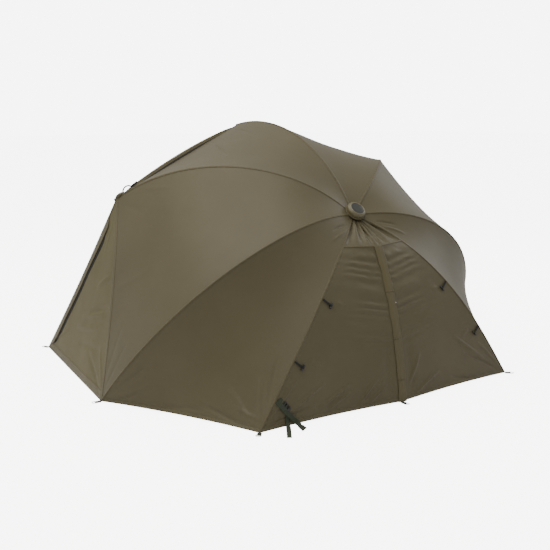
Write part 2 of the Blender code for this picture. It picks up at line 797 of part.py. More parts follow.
def make_runner():
    bore = POLE_RADIUS + CLEARANCE
    half = RUNNER_FLANGE_HALF
    bottom = half + RUNNER_SLEEVE_LENGTH
    outline = [
        (RUNNER_FLANGE_RADIUS, half),
        (RUNNER_FLANGE_RADIUS, -half),
        (RUNNER_SLEEVE_RADIUS, -half),
        (RUNNER_SLEEVE_RADIUS, -bottom + RUNNER_LIP),
        (RUNNER_SLEEVE_RADIUS + RUNNER_LIP, -bottom + RUNNER_LIP / 2),
        (RUNNER_SLEEVE_RADIUS + RUNNER_LIP, -bottom),
        (bore, -bottom),
        (bore, half),
    ]
    frame = HUB_FRAME @ Matrix.Translation((0.0, 0.0, -RUNNER_DEPTH))
    runner = put("runner", turned_mesh("runner", outline, 36), BLACK_PLASTIC, frame)
    half_slot = TONGUE_THICKNESS / 2 + SLIDING_CLEARANCE
    for rib in RIBS:
        slot = box_mesh(
            "tongue_slot",
            (RUNNER_SLOT_FLOOR, -half_slot, -half - CUT_OVERRUN),
            (RUNNER_FLANGE_RADIUS + CUT_OVERRUN, half_slot, half + CUT_OVERRUN),
        )
        cut(runner, slot, rib.matrix @ Matrix.Translation((0.0, 0.0, -RUNNER_DEPTH)))

    # the catch's ears stand on the rear of the sleeve
    pivot = frame @ Matrix.Translation((0.0, catch_radius(), -catch_height()))
    ear_in = CATCH_WIDTH / 2 + CLEARANCE
    ear_half = CATCH_THICKNESS
    sink = CATCH_STANDOFF + CUT_OVERRUN
    sideways = Matrix.Rotation(math.radians(90.0), 4, "Y")
    for side in (1, -1):
        ends = sorted((side * ear_in, side * (ear_in + CATCH_EAR)))
        ear = box_mesh(
            "catch_ear",
            (ends[0], -sink, -ear_half),
            (ends[1], ear_half, ear_half),
        )
        join(runner, ear, pivot)
    bore_length = CATCH_WIDTH + 2 * CATCH_EAR + 2 * CUT_OVERRUN
    hole = cylinder_mesh("catch_bore", CATCH_PIN_RADIUS + CLEARANCE, bore_length, 12)
    cut(runner, hole, pivot @ sideways)

    thick = CATCH_THICKNESS / 2
    lever = box_mesh(
        "runner_catch",
        (-CATCH_WIDTH / 2, -thick, -CATCH_LENGTH / 2),
        (CATCH_WIDTH / 2, thick, CATCH_LENGTH / 2),
    )
    catch = put("runner_catch", lever, BLACK_PLASTIC, pivot)
    bevel = catch.modifiers.new("soft_edges", "BEVEL")
    bevel.width = CATCH_THICKNESS / 5
    bevel.segments = 2
    pin = cylinder_mesh("catch_pin", CATCH_PIN_RADIUS, CATCH_WIDTH + 2 * CATCH_EAR, 12)
    join(catch, pin, pivot @ sideways)


def sheet(name, rows, material, thickness=CLOTH, outward=None, matrix=None):
    """Cloth through rows of points, thickened towards the inside of the shelter."""
    bm = bmesh.new()
    grid = [[bm.verts.new(point) for point in row] for row in rows]
    for upper, lower in zip(grid, grid[1:]):
        for k in range(len(upper) - 1):
            bm.faces.new((upper[k], upper[k + 1], lower[k + 1], lower[k]))
    middle = grid[len(grid) // 2]
    seed = middle[len(middle) // 2].link_faces[0]
    bmesh.ops.recalc_face_normals(bm, faces=bm.faces)
    bm.normal_update()
    way = outward or (seed.calc_center_median() - inside_point())
    if seed.normal.dot(way) < 0.0:
        bmesh.ops.reverse_faces(bm, faces=bm.faces)
    mesh = bpy.data.meshes.new(name)
    bm.to_mesh(mesh)
    bm.free()
    mesh.shade_smooth()
    obj = put(name, mesh, material, matrix or Matrix.Identity(4))
    shell = obj.modifiers.new("cloth", "SOLIDIFY")
    shell.thickness = thickness
    shell.offset = -1.0
    return obj


def inside_point():
    """A point well inside the shelter, which tells the cloth's inner side."""
    return HUB + FORWARD * (HUB_HEIGHT / 4) - AXIS * (HUB_HEIGHT / 2)


def gore_rows(first, second, edge_curve_share, sag=GORE_SAG, columns=GORE_COLUMNS):
    """Rows of points from the hub to the outer edge, ruled from one rib's seam to the next's."""
    rows = []
    for upper, lower in zip(first.steps(), second.steps()):
        row = []
        for k in range(columns + 1):
            t = k / columns
            hollow = 4 * t * (1 - t)
            trim = 1.0 - edge_curve_share * hollow * upper
            a, b = first.seam(upper * trim), second.seam(lower * trim)
            way = (b - a).normalized()
            a += first.off_seam(upper, way)
            b += second.off_seam(lower, -way)
            point = a.lerp(b, t)
            inward = (HUB - AXIS * HUB_HEIGHT - point).normalized()
            depth = sag * hollow * math.sin(math.pi * upper)
            row.append(point + inward * depth)
        rows.append(row)
    return rows


def zip_arc():
    """Centre, radius and the two end angles of the rear zip's arc, in the plane x = 0."""
    y0, z0 = HUB.y + CROSS_SEAM_BACK, CROSS_SEAM_HEIGHT
    y1, z1 = HUB.y + REAR_PEG_BACK, REAR_HEM_HEIGHT
    chord = math.hypot(y1 - y0, z1 - z0)
    radius = chord**2 / (8 * ZIP_BOW) + ZIP_BOW / 2
    back = radius - ZIP_BOW
    # the bow points backwards, so the centre lies in front of the chord
    normal = ((z0 - z1) / chord, (y1 - y0) / chord)
    centre = ((y0 + y1) / 2 - normal[0] * back, (z0 + z1) / 2 - normal[1] * back)
    start = math.atan2(z0 - centre[1], y0 - centre[0])
    end = math.atan2(z1 - centre[1], y1 - centre[0])
    return centre, radius, start, end


def zip_point(share, lift=0.0, aside=0.0):
    """A point along the zip, from the cross seam to the hem, lifted off the cloth."""
    centre, radius, start, end = zip_arc()
    angle = start + (end - start) * share
    reach = radius + lift
    return Vector((aside, centre[0] + reach * math.cos(angle), centre[1] + reach * math.sin(angle)))


def rear_middle(share):
    """The middle line of the rear panel, at a share of the way from hub to hem."""
    rear = RIB["rear_left"]
    first = rear.steps()[0]
    if share >= CROSS_SEAM_SHARE:
        return zip_point((share - CROSS_SEAM_SHARE) / (1 - CROSS_SEAM_SHARE))
    point = rear.seam(first + (1 - first) * share)
    level = rear.seam(first + (1 - first) * CROSS_SEAM_SHARE)
    swelling = (zip_point(0.0) - level) * (share / CROSS_SEAM_SHARE) ** 2
    return Vector((0.0, point.y + swelling.y, point.z + swelling.z))


def swell(low, high, value):
    """Rises from 0 at low to 1 half way and falls to 0 at high."""
    if not low < value < high:
        return 0.0
    return math.sin(math.pi * (value - low) / (high - low)) ** 2


def rear_rows(side):
    """Rows of one half of the rear panel, from its rib's seam to the middle line."""
    rib = RIB["rear_left"] if side > 0 else RIB["rear_right"]
    rows = []
    for k in range(RIB_STEPS + 1):
        share = k / RIB_STEPS
        row = []
        for c in range(REAR_COLUMNS + 1):
            t = c / REAR_COLUMNS
            trim = 1.0 - GROUND_HEM_CURVE_SHARE * 4 * t * (1 - t) * share
            first = rib.steps()[0]
            a = rib.seam(first + (1 - first) * share * trim)
            b = rear_middle(share * trim)
            gathered = swell(0.0, CROSS_SEAM_SHARE, share)
            way = (b - a).normalized()
            a += rib.off_seam(share, way) + way * CLOTH * gathered / 2
            b.x = side * REAR_MIDDLE_GAP / 2
            point = a.lerp(b, t)
            inward = (HUB - AXIS * HUB_HEIGHT - point).normalized()
            pleat = gathered * math.sin(math.pi * COLLAR_PLEATS * t) ** 2
            span = (share - PUCKER_START_SHARE) / (PUCKER_END_SHARE - PUCKER_START_SHARE)
            across = t * math.sin(math.pi * t) ** 2
            waves = math.sin(math.pi * PUCKERS * span) ** 2 * (1 - span) if 0 < span < 1 else 0.0
            depth = COLLAR_PLEAT_DEPTH * pleat + 2 * PUCKER_DEPTH * waves * across
            row.append(point + inward * depth)
        rows.append(row)
    return rows


def storm_corner(side):
    """The front lower corner of a storm side."""
    return Vector((side * STORM_CORNER_OUT, HUB.y - STORM_CORNER_FORWARD, HEM_HEIGHT))


def storm_rows(side):
    """Rows of a storm side, each from the side gore's outer edge to the front edge."""
    shoulder = RIB["shoulder_left"] if side > 0 else RIB["shoulder_right"]
    ground = RIB["side_left"] if side > 0 else RIB["side_right"]
    corner = storm_corner(side)
    tip = shoulder.seam(1.0)
    rows = []
    for k in range(STORM_ROWS + 1):
        v = STORM_TOP_SHARE + (1 - STORM_TOP_SHARE) * k / STORM_ROWS
        trim = 1.0 - SIDE_EDGE_CURVE_SHARE * 4 * v * (1 - v)
        seam = shoulder.seam(trim).lerp(ground.seam(trim), v)
        front = tip.lerp(corner, v)
        foot = ground.seam(1.0)
        hollow = STORM_EDGE_CURVE * math.sin(math.pi * v)
        front += (foot - corner).normalized() * hollow
        away = (front - seam).normalized() * STORM_SEAM_GAP
        row = [(seam + away).lerp(front, c / STORM_COLUMNS) for c in range(STORM_COLUMNS + 1)]
        rows.append(row)
    return rows


def peak_rows(side):
    """The lip that stands up along the front edge, widest half way between the two tips."""
    front = RIB["front"]
    shoulder = RIB["shoulder_left"] if side > 0 else RIB["shoulder_right"]
    rows = []
    for k in range(PEAK_STEPS + 1):
        t = PEAK_END_SHARE + (1 - 2 * PEAK_END_SHARE) * k / PEAK_STEPS
        edge = front.seam(1.0).lerp(shoulder.seam(1.0), t)
        before = front.seam(1.0 - PEAK_END_SHARE).lerp(shoulder.seam(1.0 - PEAK_END_SHARE), t)
        along = (edge - before).normalized()
        run = (shoulder.seam(1.0) - front.seam(1.0)).normalized()
        up = run.cross(along) * side
        if up.z < 0.0:
            up = -up
        rise = math.radians(PEAK_RISE)
        way = along * math.cos(rise) + up * math.sin(rise)
        width = PEAK_WIDTH * math.sin(math.pi * k / PEAK_STEPS) ** 0.6
        start = edge + along * CLEARANCE
        rows.append([start + way * (width + CLOTH) * c / 2 for c in range(3)])
    return rows


def make_canopy():
    for side, hand in ((1, "left"), (-1, "right")):
        front, shoulder = RIB["front"], RIB[f"shoulder_{hand}"]
        ground, rear = RIB[f"side_{hand}"], RIB[f"rear_{hand}"]
        sheet(f"front_panel_{hand}", gore_rows(front, shoulder, 0.0), CANOPY_CLOTH)
        sheet(f"side_panel_{hand}", gore_rows(shoulder, ground, SIDE_EDGE_CURVE_SHARE), CANOPY_CLOTH)
        rows = gore_rows(ground, rear, GROUND_HEM_CURVE_SHARE)
        sheet(f"rear_side_panel_{hand}", rows, CANOPY_CLOTH)
        sheet(f"rear_panel_{hand}", rear_rows(side), CANOPY_CLOTH)
        sheet(f"storm_side_{hand}", storm_rows(side), CANOPY_CLOTH)
        sheet(f"front_peak_{hand}", peak_rows(side), TRIM_CLOTH, outward=AXIS - FORWARD)


def make_pocket(rib):
    """A cup of webbing over a rib tip that stands clear of the cloth."""
    line = rib.centre_line()
    before, last = line[-2], line[-1]
    slope = math.atan2(before[1] - last[1], last[0] - before[0])
    at = slope_matrix(rib, last, slope) @ Matrix.Rotation(math.radians(90.0), 4, "Y")
    bore = RIB_RADIUS + CLEARANCE
    mouth = -TIP_OVERHANG + POCKET_GAP
    soft = POCKET_RADIUS / 3
    end = POCKET_WALL
    outline = [
        (0.0, end),
        (POCKET_RADIUS - soft, end),
        (POCKET_RADIUS, end - soft),
        (POCKET_RADIUS, mouth),
        (bore, mouth),
        (bore, CLEARANCE),
        (0.0, CLEARANCE),
    ]
    return put(f"tip_pocket_{rib.name}", turned_mesh("tip_pocket", outline, 14), TRIM_CLOTH, at)


def strip_rows(points, width, way):
    """Rows across a strip of a width that follows points."""
    half = width / 2
    return [[point - way * half, point, point + way * half] for point in points]


def make_zip():
    shares = [k / ZIP_ROWS for k in range(ZIP_ROWS + 1)]
    lift = ZIP_STANDOFF
    back = Vector((0.0, 1.0, 0.0))
    tape = strip_rows([zip_point(s, lift) for s in shares], ZIP_TAPE_WIDTH, ACROSS)
    sheet("zip_tape", tape, BLACK_PLASTIC, ZIP_TAPE_THICKNESS, back)
    lift = FLAP_STANDOFF
    half = FLAP_WIDTH / 2
    flap = []
    for s in shares:
        share = CROSS_SEAM_SHARE + (1 - CROSS_SEAM_SHARE) * s
        width = RIB["rear_left"].seam(share).x
        sewn, _ = rear_surface(1, share, 1.0 - half / width, FLAP_THICKNESS + CLEARANCE)
        raised = [zip_point(s, lift, -half * way) for way in (-0.6, 0.2, 1.0)]
        flap.append([sewn, *raised])
    sheet("zip_flap", flap, CANOPY_CLOTH, FLAP_THICKNESS, back)


def slider_share():
    """Where along the zip the slider stands."""
    centre, radius, start, end = zip_arc()
    angle = math.asin((SLIDER_HEIGHT - centre[1]) / radius)
    return (angle - start) / (end - start)


def make_slider():
    share = slider_share()
    centre, _, start, end = zip_arc()
    angle = start + (end - start) * share
    outward = Vector((0.0, math.cos(angle), math.sin(angle)))
    down = outward.cross(ACROSS)
    if down.z > 0.0:
        down = -down
    floor = ZIP_STANDOFF + CLEARANCE
    at = frame_matrix(ACROSS, down.cross(ACROSS) * -1, down, zip_point(share, floor))
    if at.determinant() < 0:
        at = frame_matrix(ACROSS, down.cross(ACROSS), down, zip_point(share, floor))
    lift = 1 if (at.to_3x3() @ Vector((0.0, 1.0, 0.0))).dot(outward) > 0 else -1
    half = SLIDER_WIDTH / 2
    body_low = min(0.0, lift * SLIDER_THICKNESS)
    body = box_mesh(
        "zip_slider",
        (-half, body_low, -SLIDER_LENGTH / 2),
        (half, body_low + SLIDER_THICKNESS, SLIDER_LENGTH / 2),
    )
    obj = put("zip_slider", body, BRIGHT_STEEL, at)
    # the pull lies flat under the flap and sticks out past its free edge
    thin = SLIDER_THICKNESS / 3
    middle = lift * SLIDER_THICKNESS / 2
    pull = box_mesh(
        "zip_pull",
        (-PULL_LENGTH, middle - thin / 2, -half / 2),
        (0.0, middle + thin / 2, half / 2),
    )
    join(obj, pull, at)
    return obj


def tab_places():
    """Each peg tab's name, start point on the ground and outward direction."""
    places = []
    for side, hand in ((1, "left"), (-1, "right")):
        corner = storm_corner(side)
        foot = RIB[f"side_{hand}"].seam(1.0)
        out = (corner - foot).normalized() + Vector((side, 0.0, 0.0)) * (TAB_WIDTH / TAB_LENGTH)
        places.append((f"storm_{hand}", corner, out))
        for place in ("side", "rear"):
            rib = RIB[f"{place}_{hand}"]
            seam = rib.seam(1.0)
            out = Vector((side, 0.0 if place == "side" else 1.0, 0.0))
            places.append((f"{place}_{hand}", seam, out))
    places.append(("rear", zip_point(1.0), Vector((0.0, 1.0, 0.0))))
    return places


def tab_matrix(start, out):
    """A frame on the ground: X outward, with its origin at the ring's bar."""
    flat = Vector((out.x, out.y, 0.0)).normalized()
    bar = start + flat * (CLEARANCE + TAB_LENGTH)
    bar.z = TAB_THICKNESS / 2
    up = Vector((0.0, 0.0, 1.0))
    return frame_matrix(flat, up.cross(flat), up, bar)


def make_tab(name, start, out):
    """A folded webbing tab whose end is a loop round the ring's straight bar."""
    at = tab_matrix(start, out)
    half = TAB_THICKNESS / 2
    outline = arc((0.0, 0.0), half, -90.0, 90.0, 6)
    outline += [(-TAB_LENGTH, half), (-TAB_LENGTH, -half)]
    hole = circle((0.0, 0.0), RING_WIRE_RADIUS + CLEARANCE, 10)
    mesh = flat_mesh(f"peg_tab_{name}", outline, TAB_WIDTH, hole)
    # drawn in XY with its width along Z, then laid with that width along the frame's Y
    return put(f"peg_tab_{name}", mesh, WEBBING, at @ Matrix.Rotation(math.radians(90.0), 4, "X"))


def make_ring(name, start, out):
    """A D ring: a straight bar through the tab's loop, two short sides and a bow."""
    at = tab_matrix(start, out)
    half = RING_HALF_WIDTH
    bow = arc((RING_DEPTH, 0.0), half, -90.0, 90.0, RING_ARC_STEPS)
    points = [(0.0, -half), *bow, (0.0, half)]
    ring = [(x, y, 0.0) for x, y in points]
    mesh = tube_mesh(f"peg_ring_{name}", ring, RING_WIRE_RADIUS, 1, True)
    return put(f"peg_ring_{name}", mesh, BRIGHT_STEEL, at)


def rear_surface(side, share, t, lift):
    """A point of the rear panel, lifted off it, and the outward normal there."""
    rib = RIB["rear_left"] if side > 0 else RIB["rear_right"]
    first = rib.steps()[0]

    def at(s, u):
        return rib.seam(first + (1 - first) * s).lerp(rear_middle(s), u)

    small = 0.01
    point = at(share, t)
    normal = (at(share, t + small) - point).cross(at(share - small, t) - point).normalized()
    if normal.dot(point - inside_point()) < 0.0:
        normal = -normal
    return point + normal * lift, normal


def toggle_frame(side, share):
    """A frame by the rear seam: X along the loop, down over the panel, Z off the cloth."""
    width = abs(RIB["rear_left"].seam(share).x)
    start_t = TOGGLE_START / width
    start, normal = rear_surface(side, share, start_t, TOGGLE_STANDOFF)
    reach = TOGGLE_REACH
    end, _ = rear_surface(side, share + reach / 2, start_t + reach / width, TOGGLE_STANDOFF)
    along = (end - start).normalized()
    normal = (normal - along * normal.dot(along)).normalized()
    return frame_matrix(along, normal.cross(along), normal, start)


def make_toggle(side, level, share):
    """A flat webbing loop, with a waisted plastic bar through its far end."""
    hand = "left" if side > 0 else "right"
    half, radius = TOGGLE_BAR_LENGTH / 2, TOGGLE_RADIUS
    waist = radius * 0.8
    outline = [
        (0.0, half),
        (waist, half),
        (radius, half - radius),
        (waist, 0.0),
        (radius, radius - half),
        (waist, -half),
        (0.0, -half),
    ]
    frame = toggle_frame(side, share)
    across = Matrix.Translation((TOGGLE_REACH, 0.0, 0.0)) @ Matrix.Rotation(math.radians(90.0), 4, "X")
    bar = turned_mesh("toggle_bar", outline, 10)
    toggle = put(f"toggle_{level}_{hand}", bar, BLACK_PLASTIC, frame @ across)
    half_width, half_thickness = TOGGLE_LOOP_WIDTH / 2, TOGGLE_LOOP_THICKNESS / 2
    loop = box_mesh(
        "toggle_loop",
        (0.0, -half_width, -half_thickness),
        (TOGGLE_REACH, half_width, half_thickness),
    )
    join(toggle, loop, frame)
    return toggle


def strap_line():
    """The strap's middle, from the left rear seam below the toggles down over the hem to the ground."""
    lift = STRAP_STANDOFF
    width = abs(RIB["rear_left"].seam(1.0).x)
    last_t = 1.0 - STRAP_END_OUT / width
    run = (1.0 - TOGGLE_SHARES["lower"]) * STRAP_RUN_SHARE
    count = 6
    points, normals = [], []
    for k in range(count):
        way = k / (count - 1)
        share = 1.0 - run * (1.0 - way)
        t = STRAP_WIDTH / width + (last_t - STRAP_WIDTH / width) * way
        point, normal = rear_surface(1, share, t, lift if k else STRAP_THICKNESS + CLEARANCE)
        points.append(point)
        normals.append(normal)
    tail = points[-1] - points[-2]
    tail.z = 0.0
    end = points[-1] + (tail.normalized() + Vector((0.0, 1.0, 0.0))).normalized() * STRAP_TAIL
    return points + [end], normals + [Vector((0.0, 0.0, 1.0))]


def make_strap():
    points, normals = strap_line()
    rows = []
    half = STRAP_WIDTH / 2
    for k, (point, normal) in enumerate(zip(points, normals)):
        ahead = points[min(k + 1, len(points) - 1)] - points[max(k - 1, 0)]
        across = ahead.cross(normal).normalized()
        row = [point - across * half, point, point + across * half]
        for corner in row:
            corner.z = max(corner.z, STRAP_LOWEST)
        rows.append(row)
    outward = Vector((0.0, 1.0, 1.0))
    sheet("tie_strap", rows, WEBBING, STRAP_THICKNESS, outward)


def buckle_matrix():
    points, normals = strap_line()
    along = (points[2] - points[1]).normalized()
    normal = (normals[1] - along * normals[1].dot(along)).normalized()
    middle = (points[1] + points[2]) / 2 - normal * STRAP_THICKNESS / 2
    return frame_matrix(along, normal.cross(along), normal, middle)


def make_buckle():
    """A frame that the strap runs through."""
    room = STRAP_THICKNESS / 2 + SLIDING_CLEARANCE
    wall = BUCKLE_WALL / 2
    half_width = STRAP_WIDTH / 2 + SLIDING_CLEARANCE + BUCKLE_WALL
    at = buckle_matrix()
    half = BUCKLE_LENGTH / 2
    outer = box_mesh(
        "strap_buckle", (-half, -half_width, -room - wall), (half, half_width, room + wall)
    )
    buckle = put("strap_buckle", outer, BLACK_PLASTIC, at)
    inner_half = half_width - BUCKLE_WALL
    tunnel = box_mesh(
        "buckle_tunnel",
        (-half - CUT_OVERRUN, -inner_half, -room),
        (half + CUT_OVERRUN, inner_half, room),
    )
    cut(buckle, tunnel, at)
    return buckle


def build():
    make_crown()
    make_cap()
    make_poles()
    make_clamp()
    make_runner()
    for rib in RIBS:
        make_rib(rib)
        make_stretcher(rib)
        if not rib.grounded:
            make_pocket(rib)
    make_canopy()
    make_zip()
    make_slider()
    for name, start, out in tab_places():
        make_tab(name, start, out)
        make_ring(name, start, out)
    for side in (1, -1):
        for level, share in TOGGLE_SHARES.items():
            make_toggle(side, level, share)
    make_strap()
    make_buckle()


build()
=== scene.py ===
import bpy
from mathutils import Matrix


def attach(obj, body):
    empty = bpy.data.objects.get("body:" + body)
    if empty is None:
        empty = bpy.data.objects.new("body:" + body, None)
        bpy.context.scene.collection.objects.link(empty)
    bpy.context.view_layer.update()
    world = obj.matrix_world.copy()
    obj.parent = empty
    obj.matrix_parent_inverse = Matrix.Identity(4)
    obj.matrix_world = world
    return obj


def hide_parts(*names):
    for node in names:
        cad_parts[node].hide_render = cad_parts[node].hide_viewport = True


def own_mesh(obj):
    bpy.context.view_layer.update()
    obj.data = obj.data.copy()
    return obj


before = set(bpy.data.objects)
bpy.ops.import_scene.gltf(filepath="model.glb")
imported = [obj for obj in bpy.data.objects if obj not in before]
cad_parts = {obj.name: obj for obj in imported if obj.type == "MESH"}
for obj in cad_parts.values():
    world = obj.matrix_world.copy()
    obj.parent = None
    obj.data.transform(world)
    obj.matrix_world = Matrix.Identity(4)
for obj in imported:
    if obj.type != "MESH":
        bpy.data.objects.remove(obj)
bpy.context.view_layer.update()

import math

import bmesh
import bpy
import numpy as np
from mathutils import Matrix, Vector, noise


# Studio. A pale floor that runs past the view and a white surround. Broad warm lights stand above
# and to the left, with a cooler one beyond it on the right, so the back stands in its own shade.
camera_place = Vector((3.221, 4.408, 1.500))
camera_yaw, camera_fall = -2.195, 0.176
look = Vector((
    math.cos(camera_fall) * math.cos(camera_yaw),
    math.cos(camera_fall) * math.sin(camera_yaw),
    -math.sin(camera_fall),
))
camera_data = bpy.data.cameras.new("studio_camera")
camera_data.sensor_width = 36.0
camera_data.lens = 58.9
camera = bpy.data.objects.new("studio_camera", camera_data)
camera.location = camera_place
camera.rotation_euler = look.to_track_quat("-Z", "Y").to_euler()
bpy.context.scene.collection.objects.link(camera)
bpy.context.scene.camera = camera

surround_light, surround_seen = 0.62, 7.0
surround = bpy.data.worlds.new("white_surround")
surround.use_nodes = True
surround_nodes, surround_links = surround.node_tree.nodes, surround.node_tree.links
soft_white = surround_nodes["Background"]
soft_white.inputs["Color"].default_value = (1.0, 1.0, 1.0, 1.0)
soft_white.inputs["Strength"].default_value = surround_light
bright_white = surround_nodes.new("ShaderNodeBackground")
bright_white.inputs["Color"].default_value = (1.0, 1.0, 1.0, 1.0)
bright_white.inputs["Strength"].default_value = surround_seen
ray = surround_nodes.new("ShaderNodeLightPath")
either = surround_nodes.new("ShaderNodeMixShader")
surround_links.new(ray.outputs["Is Camera Ray"], either.inputs["Fac"])
surround_links.new(soft_white.outputs[0], either.inputs[1])
surround_links.new(bright_white.outputs[0], either.inputs[2])
surround_links.new(either.outputs[0], surround_nodes["World Output"].inputs["Surface"])
bpy.context.scene.world = surround


def studio_lamp(name, place, target, width, depth, power, color):
    """A broad soft lamp, turned to its target."""
    data = bpy.data.lights.new(name, "AREA")
    data.color = color
    data.shape = "RECTANGLE"
    data.size, data.size_y = width, depth
    data.energy = power
    lamp = bpy.data.objects.new(name, data)
    lamp.location = place
    lamp.rotation_euler = (Vector(target) - Vector(place)).to_track_quat("-Z", "Y").to_euler()
    bpy.context.scene.collection.objects.link(lamp)


studio_lamp("overhead_softbox", (1.7, 0.1, 5.2), (0.2, -0.1, 0.6), 6.0, 5.0, 285.0, (1.0, 0.96, 0.87))
studio_lamp("side_softbox", (6.5, -2.6, 2.6), (0.6, -0.2, 0.6), 4.0, 3.0, 54.0, (1.0, 0.95, 0.82))
studio_lamp("far_softbox", (-5.8, 0.6, 3.4), (-0.4, 0.2, 0.6), 3.5, 3.0, 78.0, (0.97, 0.98, 1.0))


def plain_finish(name, color, roughness, metallic=0.0):
    """A material and its shader, for a section to add its own pattern to."""
    made = bpy.data.materials.new(name)
    made.use_nodes = True
    shader = made.node_tree.nodes["Principled BSDF"]
    shader.inputs["Base Color"].default_value = (*color, 1.0)
    shader.inputs["Roughness"].default_value = roughness
    shader.inputs["Metallic"].default_value = metallic
    made.diffuse_color = (*color, 1.0)
    return made, shader


floor_half, floor_glow = 60.0, 6.2
floor_mesh = bpy.data.meshes.new("studio_floor")
floor_bm = bmesh.new()
bmesh.ops.create_grid(floor_bm, x_segments=1, y_segments=1, size=floor_half)
floor_bm.to_mesh(floor_mesh)
floor_bm.free()
studio_floor = bpy.data.objects.new("studio_floor", floor_mesh)
bpy.context.scene.collection.objects.link(studio_floor)
floor_finish, floor_shader = plain_finish("studio_floor", (0.86, 0.86, 0.86), 0.9)
floor_nodes, floor_links = floor_finish.node_tree.nodes, floor_finish.node_tree.links
floor_ray = floor_nodes.new("ShaderNodeLightPath")
glow = floor_nodes.new("ShaderNodeMath")
glow.operation = "MULTIPLY"
glow.inputs[1].default_value = floor_glow
floor_links.new(floor_ray.outputs["Is Camera Ray"], glow.inputs[0])
floor_links.new(glow.outputs[0], floor_shader.inputs["Emission Strength"])
floor_shader.inputs["Emission Color"].default_value = (1.0, 1.0, 1.0, 1.0)
floor_mesh.materials.append(floor_finish)


# Roof and side panels. Six gores of coated nylon are sewn between seven bent ribs and cut to the
# curves that the ribs take up. The pull of the ribs keeps them smooth, but each hollows a little,
# and the thread leaves puckers along its seams and creases at its corners.
hub = np.array([0.0, 0.668, 0.960])
lean = math.radians(42.7)
pole_up = np.array([0.0, math.sin(lean), math.cos(lean)])
frontwards = np.array([0.0, -math.cos(lean), math.sin(lean)])
sideways = np.array([1.0, 0.0, 0.0])
hem_height = 0.003
canopy_hole = 0.030
inside_point = hub + frontwards * 0.24 - pole_up * 0.48
under_hub = hub - pole_up * 0.960


class RibLine:
    """The curve that a rib bends to, from its turn round the hub and its three slopes."""

    def __init__(self, turn, start, middle, end, length=None):
        around = math.radians(turn)
        self.out = frontwards * math.cos(around) + sideways * math.sin(around)
        self.square = np.cross(pole_up, self.out)
        self.bend = 2 * (start + end - 2 * middle)
        self.start, self.turning = start, end - start - self.bend
        self.shares = np.linspace(0.0, 1.0, 401)
        slope = np.radians(self.start + self.turning * self.shares + self.bend * self.shares**2)
        step = self.shares[1]
        out, down = np.cos(slope), np.sin(slope)
        self.run = np.concatenate([[0.0], np.cumsum((out[1:] + out[:-1]) / 2 * step)])
        self.fall = np.concatenate([[0.0], np.cumsum((down[1:] + down[:-1]) / 2 * step)])
        drop = self.fall[-1] * pole_up[2] - self.run[-1] * self.out[2]
        self.length = length or (hub[2] - hem_height) / drop
        self.first = canopy_hole / self.length

    def seam(self, u):
        """Points of the seam, with u from the cap's edge at 0 to the rib's tip at 1."""
        share = self.first + (1 - self.first) * np.asarray(u, float)
        out = np.interp(share, self.shares, self.run) * self.length
        down = np.interp(share, self.shares, self.fall) * self.length
        return hub + np.multiply.outer(out, self.out) - np.multiply.outer(down, pole_up)


# Each rib's turn from the front, and its slopes at the hub, half way and at the tip, in degrees. Those
# with a length end in the air, and the others reach the ground.
ribs = {"front": RibLine(0.0, -15.0, 19.8, 52.4, 1.305)}
for hand, side in (("left", 1), ("right", -1)):
    ribs[f"shoulder_{hand}"] = RibLine(side * 49.7, -20.8, 29.5, 65.5, 1.510)
    ribs[f"side_{hand}"] = RibLine(side * 101.5, -21.1, 42.5, 81.5)
    ribs[f"rear_{hand}"] = RibLine(side * 136.2, -11.5, 23.4, 34.9)


def speckle(points, pitch, seed):
    """Smooth unevenness from -1 to 1 at points, with hills a given pitch apart."""
    move = Vector((seed, 3.7 * seed, -seed))
    return np.array([noise.noise(Vector(p) / pitch + move) for p in points])


def outward_way(shape, t, u):
    """The outer normals of a surface."""
    step = 0.002
    over = shape(np.minimum(t + step, 1), u) - shape(np.maximum(t - step, 0), u)
    down = shape(t, np.minimum(u + step, 1)) - shape(t, np.maximum(u - step, 0))
    normal = np.cross(over, down)
    normal /= np.maximum(np.linalg.norm(normal, axis=1), 1e-12)[:, None]
    facing = np.sum(normal * (shape(t, u) - inside_point), axis=1)
    return normal * np.where(facing < 0, -1.0, 1.0)[:, None]


class Cloth:
    """A sheet's smooth shape, with t across it and u down it, and the relief that stands off it."""

    def __init__(self, shape, relief=None):
        self.shape, self.relief = shape, relief
        down = shape(np.full(80, 0.5), np.linspace(0, 1, 80))
        self.length = np.linalg.norm(np.diff(down, axis=0), axis=1).sum()

    def width(self, u):
        u = np.atleast_1d(np.asarray(u, float))
        return np.linalg.norm(self.shape(np.ones_like(u), u) - self.shape(np.zeros_like(u), u), axis=1)

    def at(self, t, u, lift=0.0):
        points = self.shape(t, u)
        height = np.zeros_like(u) + lift
        if self.relief:
            height = height + self.relief(t, u, self.width(u), points)
        return points + outward_way(self.shape, t, u) * height[:, None]


